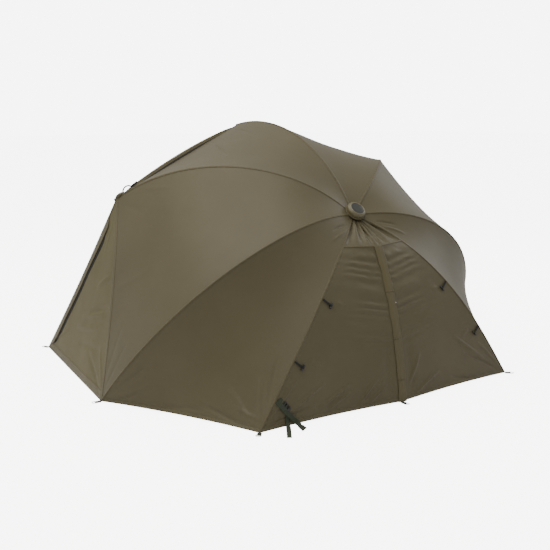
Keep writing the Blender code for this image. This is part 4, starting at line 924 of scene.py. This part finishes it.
tooth_pitch, tooth_aside, tooth_lift = 0.0040, 0.0011, 0.0020
tooth_size = Matrix.Diagonal((0.0044, 0.0014, 0.0026, 1.0))
bm = bmesh.new()
for k in range(int(zip_length / tooth_pitch)):
    share = (k + 0.5) * tooth_pitch / zip_length
    place = Vector(zip_line(share, tooth_lift, tooth_aside if k % 2 else -tooth_aside))
    stand = Matrix.Translation(place) @ Matrix.Rotation(zip_angle(share), 4, "X")
    bmesh.ops.create_cube(bm, size=1.0, matrix=stand @ tooth_size)
teeth_mesh = bpy.data.meshes.new("zip_coil")
bm.to_mesh(teeth_mesh)
bm.free()
teeth_mesh.materials.append(black_plastic)
teeth = bpy.data.objects.new("zip_coil", teeth_mesh)
bpy.context.scene.collection.objects.link(teeth)
hang_on_rib(teeth, "rear", "left")


# Zip flap. A storm flap of doubled cloth, sewn down one side of the zip and held shut over it by
# three short bars of hook tape. Its free edge waves a little.
flap_nylon = cloth_finish("olive_flap", (0.096, 0.080, 0.037), olive, 0.5, stitch_rows=(0.0225,))
flap_width, flap_waving = 0.050, 0.0050
bar_shares, bar_deep, bar_width = (0.30, 0.60, 0.86), 0.008, 0.046


def flap_place(t, u):
    x = flap_width / 2 - flap_width * t
    wave = speckle(np.stack([x, 0 * u, u * zip_length], axis=1), 0.07, 5.0)
    lift = 0.0020 + 0.0076 * smooth_step(t / 0.45)
    lift = lift + 0.0022 * wave * smooth_step(t / 0.4) * smooth_step(1.2 - t)
    edge = speckle(np.stack([0 * x, 0 * u, u * zip_length], axis=1), 0.06, 8.0)
    x = x + flap_waving * edge * (1 - t) - flap_waving * edge * t
    return zip_line(u, lift) + np.multiply.outer(x, sideways)


def flap_metres(t, u):
    return np.stack([(t - 0.5) * flap_width, u * zip_length], axis=1)


def bar_metres(t, u):
    return np.stack([(u - 0.5) * bar_deep, t * bar_width], axis=1)


zip_flap, (width, length, area) = laid_sheet(
    "zip_flap_cloth", 16, 220, flap_place, flap_metres,
    flap_nylon, doubled_thickness, zip_out,
)
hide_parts("zip_flap")
hang_on_rib(zip_flap, "rear", "left")
for number, share in enumerate(bar_shares, 1):

    def bar_place(t, u):
        at = share + (u - 0.5) * bar_deep / zip_length
        return flap_place(0.04 + 0.92 * t, at) + np.array([0.0, 0.0009, 0.0002])

    bar, _ = laid_sheet(
        f"flap_bar_{number}", 14, 3, bar_place, bar_metres,
        tape_nylon, folded_thickness, zip_out,
    )
    hang_on_rib(bar, "rear", "left")


# Cut sizes. For each panel this reads back the flat size that its cloth was cut to, and the rib that
# it is stretched over.
for (kind, hand), piece in sheets.items():
    width, length, area = cuts[kind, hand]
    carrier = {"storm_side": "side", "rear_panel": "rear"}.get(kind) or gores[kind][3]


# Hub cap. A moulded olive dome pressed over the hub, with a plain dark disc let into a pale rim. It
# is spun from its outline round the leaning pole.
cap_plastic = mottled_finish("olive_cap_plastic", (0.102, 0.085, 0.042), (0.094, 0.079, 0.038), 0.45)
rim_plastic = mottled_finish("pale_rim_plastic", (0.156, 0.137, 0.079), (0.145, 0.128, 0.073), 0.42)
disc_plastic = mottled_finish("dark_disc_plastic", (0.021, 0.022, 0.017), (0.018, 0.019, 0.014), 0.33)
pole_frame = Matrix((
    (1.0, 0.0, 0.0, hub[0]),
    (0.0, -frontwards[1], pole_up[1], hub[1]),
    (0.0, -frontwards[2], pole_up[2], hub[2]),
    (0.0, 0.0, 0.0, 1.0),
))


def add_form(bm, form, matrix=Matrix(), finish=None):
    """Moves a form to its place and adds it to a piece's bmesh, in one of the piece's finishes."""
    if finish is not None:
        for face in form.faces:
            face.material_index = finish
    form.transform(matrix)
    part = bpy.data.meshes.new("part")
    form.to_mesh(part)
    form.free()
    bm.from_mesh(part)
    bpy.data.meshes.remove(part)


def add_spun(bm, outline, steps, matrix, pick=None):
    """A form turned from (radius, height) points, whose faces get the finish that pick gives them."""
    form = bmesh.new()
    line = [form.verts.new((max(r, 0.0), 0.0, z)) for r, z in outline]
    edges = [form.edges.new(pair) for pair in zip(line, line[1:])]
    bmesh.ops.spin(
        form, geom=line + edges, cent=(0, 0, 0), axis=(0, 0, 1), angle=2 * math.pi,
        steps=steps, use_merge=True,
    )
    bmesh.ops.remove_doubles(form, verts=form.verts, dist=1e-6)
    if pick:
        for face in form.faces:
            middle = face.calc_center_median()
            face.material_index = pick(math.hypot(middle.x, middle.y), middle.z)
    add_form(bm, form, matrix)


def solid_piece(name, bm, finishes, smooth=40.0):
    """Turns a bmesh of closed forms into a piece, with edges sharp past an angle in degrees."""
    bmesh.ops.recalc_face_normals(bm, faces=bm.faces)
    mesh = bpy.data.meshes.new(name)
    bm.to_mesh(mesh)
    bm.free()
    mesh.shade_smooth()
    mesh.set_sharp_from_angle(angle=math.radians(smooth))
    for finish in finishes:
        mesh.materials.append(finish)
    piece = bpy.data.objects.new(name, mesh)
    bpy.context.scene.collection.objects.link(piece)
    return piece


def rounded(cr, cz, radius, start, end, steps):
    """Points of an arc in an outline, by angles in degrees."""
    angles = np.radians(np.linspace(start, end, steps + 1))
    return [(cr + radius * math.cos(a), cz + radius * math.sin(a)) for a in angles]


cap_outline = [(0.0, 0.0545), (0.0180, 0.0543)] + rounded(0.0362, 0.0530, 0.0012, 90, 0, 4)
cap_outline += [(0.0374, 0.0518), (0.0382, 0.0518)] + rounded(0.0402, 0.0538, 0.0020, 180, 30, 8)
cap_outline += rounded(0.0380, 0.0380, 0.0170, 60, 0, 14) + [(0.0552, 0.0260)]
cap_outline += rounded(0.0552, 0.0232, 0.0014, 70, -90, 6) + [(0.0525, 0.0218), (0.0522, 0.0350)]
cap_outline += rounded(0.0380, 0.0370, 0.0142, 0, 70, 8) + [(0.0200, 0.0505), (0.0, 0.0505)]


disc_radius, disc_bottom = 0.0378, 0.0510
rim_radius, rim_bottom = 0.0425, 0.0512


def cap_part(radius, height):
    """The disc is 2, the rim round it 1, and the dome 0."""
    if radius < disc_radius and height > disc_bottom:
        return 2
    return 1 if radius < rim_radius and height > rim_bottom else 0


bm = bmesh.new()
add_spun(bm, cap_outline, 96, pole_frame, cap_part)
cap = solid_piece("hub_cap_dome", bm, [cap_plastic, rim_plastic, disc_plastic], 35.0)
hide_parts("hub_cap")
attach(cap, "pole")


# Zip slider. Two plates of plated steel, joined by a neck, run on the coil. A flat pull of the same
# steel lies across them and shows past the flap's free edge.
steel_light, steel_deep = (0.66, 0.66, 0.64), (0.54, 0.54, 0.52)
bright_steel = mottled_finish("plated_steel", steel_light, steel_deep, 0.32, metallic=1.0, scale=500.0)
slider_height = 0.520
slider_angle = math.asin((slider_height - zip_centre[1]) / zip_radius)
slider_share = (slider_angle - zip_angles[0]) / (zip_angles[1] - zip_angles[0])


def block_piece(name, blocks, at, finish):
    """A piece of blocks with softened edges, each given by its size, its place and its bevel."""
    bm = bmesh.new()
    for size, place, bevel in blocks:
        block = bmesh.new()
        bmesh.ops.create_cube(block, size=1.0, matrix=Matrix.Diagonal((*size, 1.0)))
        bmesh.ops.bevel(
            block, geom=block.edges[:], offset=bevel, segments=2,
            profile=0.5, affect="EDGES", material=-1,
        )
        add_form(bm, block, at @ Matrix.Translation(place))
    return solid_piece(name, bm, [finish])


def standing(x, y, z, place):
    """A frame from its three ways and its place."""
    rows = [(x[k], y[k], z[k], place[k]) for k in range(3)]
    return Matrix((*rows, (0.0, 0.0, 0.0, 1.0)))


slider_out = Vector((0.0, math.cos(slider_angle), math.sin(slider_angle)))
slider_down = Vector((0.0, math.sin(slider_angle), -math.cos(slider_angle)))
at_slider = standing(Vector((1, 0, 0)), slider_out, slider_down, Vector(zip_line(slider_share, 0.0023)))
slider_blocks = {
    "lower_plate": ((0.0110, 0.0018, 0.0160), (0, 0.0009, 0), 0.0007),
    "upper_plate": ((0.0104, 0.0016, 0.0150), (0, 0.0042, 0), 0.0007),
    "neck": ((0.0030, 0.0044, 0.0040), (0, 0.0026, -0.0040), 0.0006),
    "pull": ((0.0260, 0.0015, 0.0052), (-0.0170, 0.0026, 0), 0.0006),
}
slider = block_piece("zip_slider_body", slider_blocks.values(), at_slider, bright_steel)
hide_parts("zip_slider")
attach(slider, "zip_slider")
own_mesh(slider)


# Toggles. On each rear seam two loops of black webbing are sewn in, each folded round a small
# waisted bar of black plastic. They hold the rear panel when it is rolled up.
loop_start, loop_reach, loop_lift = 0.012, 0.052, 0.0051


def toggle_frame(hand, share):
    """A frame by the rear seam: X along the loop, Y down over the panel, Z off the cloth."""
    cloth = Cloth(cloths["rear_panel", hand].shape)
    rib = ribs[f"rear_{hand}"]
    width = abs(rib.seam((share - rib.first) / (1 - rib.first))[0])
    begin = loop_start / width
    t, u = np.array([begin, begin + loop_reach / width]), np.array([share, share + loop_reach / 2])
    start, end = cloth.at(t, u, loop_lift)
    along = Vector(end - start).normalized()
    normal = Vector(outward_way(cloth.shape, t[:1], u[:1])[0])
    normal = (normal - along * normal.dot(along)).normalized()
    return standing(along, normal.cross(along), normal, Vector(start))


def folded_webbing(path, width, rows, thickness, length=None):
    """Webbing that follows (x, z) points, with its width on Y. Its weave follows it if length is given."""
    spans = len(path) - 1
    strip = bmesh.new()
    bmesh.ops.create_grid(strip, x_segments=spans, y_segments=rows, size=0.5)
    if length:
        uv_map = strip.loops.layers.uv.new("cloth_metres")
        for face in strip.faces:
            for loop in face.loops:
                loop[uv_map].uv = (loop.vert.co.y * width, (loop.vert.co.x + 0.5) * length)
    for v in strip.verts:
        x, z = path[round((v.co.x + 0.5) * spans)]
        v.co = (x, v.co.y * width, z)
    bmesh.ops.solidify(strip, geom=strip.faces[:], thickness=thickness)
    return strip


loop_half, turn_radius, loop_width = 0.0013, 0.0052, 0.009
loop_path = [(-0.004, loop_half)] + [(loop_reach * k / 6, loop_half) for k in range(5)]
loop_back = [(x, -z) for x, z in reversed(loop_path)]
turns = np.radians(np.linspace(120, -120, 13))
loop_path += [(loop_reach + turn_radius * math.cos(a), turn_radius * math.sin(a)) for a in turns] + loop_back
bar_half, bar_corner = 0.017, 0.0020
bar_outline = [(0.0, bar_half)] + rounded(0.0028, bar_half - bar_corner, bar_corner, 90, 0, 4)
bar_outline += [(0.0046, 0.010), (0.0038, 0.005), (0.0038, -0.005), (0.0046, -0.010)]
bar_outline += rounded(0.0028, -bar_half + bar_corner, bar_corner, 0, -90, 4) + [(0.0, -bar_half)]
bar_turn = Matrix.Translation((loop_reach, 0.0, 0.0)) @ Matrix.Rotation(math.radians(90.0), 4, "X")
loop_webbing = cloth_finish("black_loop_webbing", (0.013, 0.014, 0.014), (0.009, 0.010, 0.010), 0.7)
for hand in ("left", "right"):
    for level, share in toggle_levels.items():
        at = toggle_frame(hand, share)
        bm = bmesh.new()
        add_spun(bm, bar_outline, 20, at @ bar_turn)
        add_form(bm, folded_webbing(loop_path, loop_width, 2, 0.0010), at, 1)
        finishes = [black_plastic, loop_webbing]
        toggle = solid_piece(f"rear_toggle_{level}_{hand}", bm, finishes)
        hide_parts(f"toggle_{level}_{hand}")
        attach(toggle, f"toggle_{level}_{hand}")


# Tie strap. Green webbing is sewn by the left rear seam, runs through a black buckle and crosses the
# hem to a cut end. A second, shorter tail comes out of the buckle and hangs to the ground.
def strap_cloth(name, points, normals, width, thickness):
    """Webbing laid along points, with its face turned to the normals."""
    points, normals = np.array(points), np.array(normals)
    steps = np.concatenate([[0.0], np.cumsum(np.linalg.norm(np.diff(points, axis=0), axis=1))])
    shares = np.linspace(0, 1, 90)
    fine = np.linspace(0, steps[-1], len(shares))
    kernel = np.ones(13) / 13

    def smooth(values):
        line = np.stack([np.interp(fine, steps, values[:, k]) for k in range(3)], axis=1)
        padded = np.concatenate([2 * line[:1] - line[6:0:-1], line, 2 * line[-1:] - line[-2:-8:-1]])
        return np.stack([np.convolve(padded[:, k], kernel, "valid") for k in range(3)], axis=1)

    middle, up = smooth(points), smooth(normals)
    up /= np.linalg.norm(up, axis=1)[:, None]
    ahead = np.gradient(middle, axis=0)
    across = np.cross(ahead, up)
    across /= np.linalg.norm(across, axis=1)[:, None]

    def place(t, u):
        def along(values):
            return np.stack([np.interp(u, shares, values[:, k]) for k in range(3)], axis=1)

        point = along(middle) + along(across) * ((t - 0.5) * width)[:, None]
        point[:, 2] = np.maximum(point[:, 2], hem_height)
        return point

    def metres(t, u):
        return np.stack([(t - 0.5) * width, u * steps[-1]], axis=1)

    return laid_sheet(name, 8, 120, place, metres, webbing, thickness, Vector((0, 1, 1)))


rear_left = Cloth(cloths["rear_panel", "left"].shape)
rear_foot = abs(ribs["rear_left"].seam(1.0)[0])
way = np.linspace(0, 1, 6)


def over_panel(first, last, first_share, lift):
    """Points and normals from near the seam, at first metres and first_share, to the hem, at x = last."""
    t = first / rear_foot + (1 - last / rear_foot - first / rear_foot) * way
    u = first_share + (1 - first_share) * way
    points = list(rear_left.at(t, u, np.where(way > 0, lift, 0.0019)))
    return points, list(outward_way(rear_left.shape, t, u))


strap_points, strap_normals = over_panel(first=0.022, last=0.640, first_share=0.872, lift=0.0042)
buckle_at = (strap_points[1] + strap_points[2]) / 2
buckle_along = Vector(strap_points[2] - strap_points[1]).normalized()
buckle_up = Vector(strap_normals[1])
buckle_up = (buckle_up - buckle_along * buckle_up.dot(buckle_along)).normalized()
buckle_place = Vector(buckle_at) + buckle_up * 0.0016
buckle_frame = standing(buckle_along, buckle_up.cross(buckle_along), buckle_up, buckle_place)
side_bars = [((0.040, 0.0042, 0.0070), (0, y, 0), 0.0014) for y in (-0.0135, 0.0135)]
cross_bars = [((0.0060, 0.0290, 0.0034), (x, 0, 0.0026), 0.0012) for x in (-0.0175, -0.0020, 0.0175)]
tongue = ((0.0110, 0.0200, 0.0022), (0.0235, 0, 0.0036), 0.0008)
buckle_blocks = side_bars + cross_bars + [tongue]
buckle = block_piece("strap_buckle_frame", buckle_blocks, buckle_frame, black_plastic)
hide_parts("strap_buckle")
hang_on_rib(buckle, "rear", "left")

strap_width, strap_thickness = 0.026, 0.0018
strap_end = [np.array([0.680, 1.094, 0.013]), np.array([0.691, 1.140, 0.012])]
long_points, long_normals = over_panel(first=0.010, last=0.668, first_share=0.878, lift=0.0098)
long_points += strap_end
long_normals += [np.array([0.45, 0.60, 0.55]), np.array([0.50, 0.55, 0.55])]
strap, strap_cut = strap_cloth(
    "tie_strap_webbing", long_points, long_normals, strap_width, strap_thickness
)
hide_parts("tie_strap")
hang_on_rib(strap, "rear", "left")

tail_width, tail_thickness = 0.024, 0.0014
tail_end = np.array([0.806, 1.172, 0.004])
hem = rear_left.at(np.array([0.17]), np.array([0.992]), 0.0045)[0]
tail_points = [point + np.array(buckle_up) * 0.003 for point in strap_points[:2]]
tail_points += [np.array(buckle_at) - np.array(buckle_up) * 0.001]
tail_points += [(tail_points[2] * 0.45 + hem * 0.55) + np.array([-0.004, 0.001, 0.0]), hem]
tail_points += [hem + np.array([0.018, 0.030, -0.004]), tail_end]
tail_normals = [np.array(buckle_up)] * 4 + [np.array([0.0, 0.8, 0.6])] + [np.array([0.0, 0.0, 1.0])] * 2
tail_piece, tail_cut = strap_cloth("tie_strap_tail", tail_points, tail_normals, tail_width, tail_thickness)
hang_on_rib(tail_piece, "rear", "left")


# Peg tabs and rings. At each ground corner a doubled webbing tab holds a plated D ring of bent wire,
# which lies flat and takes the peg.
ring_reach, ring_height = 0.0304, 0.0026


def tab_frame(start, out):
    """On the ground: X outward, with its origin at the ring's straight bar."""
    flat = Vector((out[0], out[1], 0.0)).normalized()
    bar = Vector(start) + flat * ring_reach
    bar.z = ring_height
    up = Vector((0.0, 0.0, 1.0))
    return standing(flat, up.cross(flat), up, bar)


def add_wire(bm, line, flat, radius, closed=False, finish=0):
    """Round wire or cord along a flat line of points, added to a bmesh."""
    line, flat = np.array(line, float), np.array(flat.normalized())
    count = len(line)
    segments = count if closed else count - 1
    ahead = np.roll(line, -1, axis=0) - np.roll(line, 1, axis=0) if closed else np.gradient(line, axis=0)
    aside = np.cross(ahead / np.linalg.norm(ahead, axis=1)[:, None], flat)
    tube = bmesh.new()
    bmesh.ops.create_grid(tube, x_segments=segments, y_segments=10, size=0.5)
    for v in tube.verts:
        k = round((v.co.x + 0.5) * segments) % count
        turn = 2 * math.pi * (v.co.y + 0.5)
        v.co = line[k] + radius * (aside[k] * math.cos(turn) + flat * math.sin(turn))
    bmesh.ops.remove_doubles(tube, verts=tube.verts, dist=1e-5)
    bmesh.ops.holes_fill(tube, edges=[e for e in tube.edges if e.is_boundary], sides=0)
    add_form(bm, tube, finish=finish)


tab_splay = 0.022 / 0.030
tab_starts = {"rear": (zip_line(1.0), (0.0, 1.0))}
for hand, side in (("left", 1), ("right", -1)):
    corner = storm_corners[hand]
    foot = ribs[f"side_{hand}"].seam(1.0)
    storm_out = (corner - foot) / np.linalg.norm(corner - foot) + np.array([side * tab_splay, 0.0, 0.0])
    tab_starts[f"storm_{hand}"] = (corner, storm_out)
    tab_starts[f"side_{hand}"] = (foot, (side, 0.0))
    tab_starts[f"rear_{hand}"] = (ribs[f"rear_{hand}"].seam(1.0), (side, 1.0))
tab_half, tab_width, tab_length = 0.0017, 0.022, 0.066
tab_path = [(-0.030, tab_half)] + [(-0.030 + 0.027 * k / 6, tab_half) for k in range(1, 7)]
turns = np.radians(np.linspace(110, -110, 11))
tab_path += [(0.0026 * math.cos(a) - 0.0002, 0.0026 * math.sin(a)) for a in turns]
tab_path += [(-0.003 - 0.027 * k / 6, -tab_half) for k in range(7)]
wire, ring_half, ring_deep = 0.0014, 0.0135, 0.006
bow_ends = ring_half - wire
bow = [(0.0, y) for y in (-bow_ends, *np.linspace(-0.009, 0.009, 4), bow_ends)]
arch = rounded(ring_deep, 0.0, ring_half, 90, -90, 22)
bend = bow + [(0.0015, ring_half)] + arch + [(0.0015, -ring_half)]
for name, (start, out) in tab_starts.items():
    at = tab_frame(start, out)
    bm = folded_webbing(tab_path, tab_width, 4, 0.0009, tab_length)
    bm.transform(at)
    tab = solid_piece(f"webbing_tab_{name}", bm, [webbing], 60.0)
    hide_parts(f"peg_tab_{name}")
    bm = bmesh.new()
    add_wire(bm, [(x, y, 0.0) for x, y in bend], Vector((0, 0, 1)), wire, True)
    bm.transform(at)
    ring = solid_piece(f"steel_ring_{name}", bm, [bright_steel], 80.0)
    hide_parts(f"peg_ring_{name}")
    place, _, hand = name.partition("_")
    if place == "storm":
        hang_on_storm(tab, hand)
        hang_on_storm(ring, hand)
    elif hand:
        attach(tab, f"{place}_rib_{hand}")
        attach(ring, f"ring_{name}")
    else:
        hang_on_rib(tab, "rear", "left")
        hang_on_rib(ring, "rear", "left")


# Tip covers. A padded pouch of doubled nylon is sewn over each shoulder corner, where the rib's
# spring would wear through a single layer.
cover_size = Matrix.Diagonal((0.036, 0.021, 0.0130, 1.0))
cover_back, cover_aside = 0.023, 0.007
for hand in ("left", "right"):
    tip, near = (Vector(ribs[f"shoulder_{hand}"].seam(share)) for share in (1.0, 0.97))
    along = (tip - near).normalized()
    aside = Vector(ribs["front"].seam(1.0)) - tip
    aside = (aside - along * aside.dot(along)).normalized()
    bm = bmesh.new()
    bmesh.ops.create_uvsphere(bm, u_segments=28, v_segments=18, radius=1.0)
    middle = tip - along * cover_back + aside * cover_aside
    bm.transform(standing(along, aside, along.cross(aside), middle) @ cover_size)
    cover = solid_piece(f"tip_cover_{hand}", bm, [tape_nylon], 80.0)
    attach(cover, f"shoulder_rib_{hand}")


# Front loops. By each shoulder tip a loop of thin olive cord and a small dark bar are sewn to the
# front edge. They hold a rolled front sheet.
cord_light, cord_deep = (0.092, 0.078, 0.038), (0.066, 0.055, 0.026)
cord_olive = mottled_finish("olive_cord", cord_light, cord_deep, 0.8, scale=900.0, bump=0.6)
cord_radius, cord_bar_radius = 0.0042, 0.0050
arch_from_tip, arch_half, arch_height, arch_lift = 0.052, 0.032, 0.024, 0.004
for hand in ("left", "right"):
    tip = Vector(ribs[f"shoulder_{hand}"].seam(1.0))
    run = (Vector(ribs["front"].seam(1.0)) - tip).normalized()
    rise = Vector((0, 0, 1)) - run * run.z
    rise.normalize()
    begin = tip + run * arch_from_tip + rise * arch_lift
    loop = []
    for angle in np.radians(np.linspace(180.0, 20.0, 15)):
        ahead = run * (arch_half + arch_half * math.cos(angle))
        loop.append(begin + ahead + rise * arch_height * math.sin(angle))
    bar_line = [loop[-1] + (run * 0.050 + rise * 0.006) * share for share in np.linspace(0.0, 1.0, 5)]
    bm = bmesh.new()
    add_wire(bm, loop, run.cross(rise), cord_radius)
    add_wire(bm, bar_line, run.cross(rise), cord_bar_radius, finish=1)
    front_loop = solid_piece(f"front_loop_{hand}", bm, [cord_olive, black_plastic], 50.0)
    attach(front_loop, f"shoulder_rib_{hand}")


# Tip pockets. A small pocket of doubled nylon is sewn on past the front edge at each free rib tip.
# Each rib is pushed into its pocket and so keeps the cloth taut.
def dress(node, finish):
    """Gives a node of the frame a finish and leaves its mesh alone."""
    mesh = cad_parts[node].data
    mesh.materials.clear()
    mesh.materials.append(finish)


pocket_cloth = mottled_finish("pocket_nylon", olive, deep_olive, 0.6, scale=700.0, bump=0.5)
for place in ("front", "shoulder_left", "shoulder_right"):
    dress(f"tip_pocket_{place}", pocket_cloth)


# Ribs and stretchers. The ribs are slim rods with a satin black coat. Each stretcher is a grey
# anodised tube whose flattened ends turn on a rivet at the rib and in a slot of the runner.
coat, deep_coat = (0.022, 0.022, 0.021), (0.014, 0.014, 0.014)
rib_black = mottled_finish("satin_black_coat", coat, deep_coat, 0.38, scale=260.0, bump=0.15)
tube_grey, deep_grey = (0.19, 0.195, 0.195), (0.15, 0.155, 0.155)
anodised = mottled_finish("grey_anodised_tube", tube_grey, deep_grey, 0.34, metallic=1.0, scale=190.0)
for place in ribs:
    dress(f"rib_{place}", rib_black)
    dress(f"stretcher_{place}", anodised)


# Pole, clamp, runner and crown. The pole is anodised tube with a plain spiked lower length that a
# moulded collar and a knob clamp. The crown and runner are black glass-filled nylon mouldings.
moulded = mottled_finish("black_moulding", coat, deep_coat, 0.46, scale=420.0, bump=0.25)
for node in ("upper_pole", "lower_pole"):
    dress(node, anodised)
for node in ("hub_crown", "clamp_collar", "clamp_knob", "runner", "runner_catch"):
    dress(node, moulded)
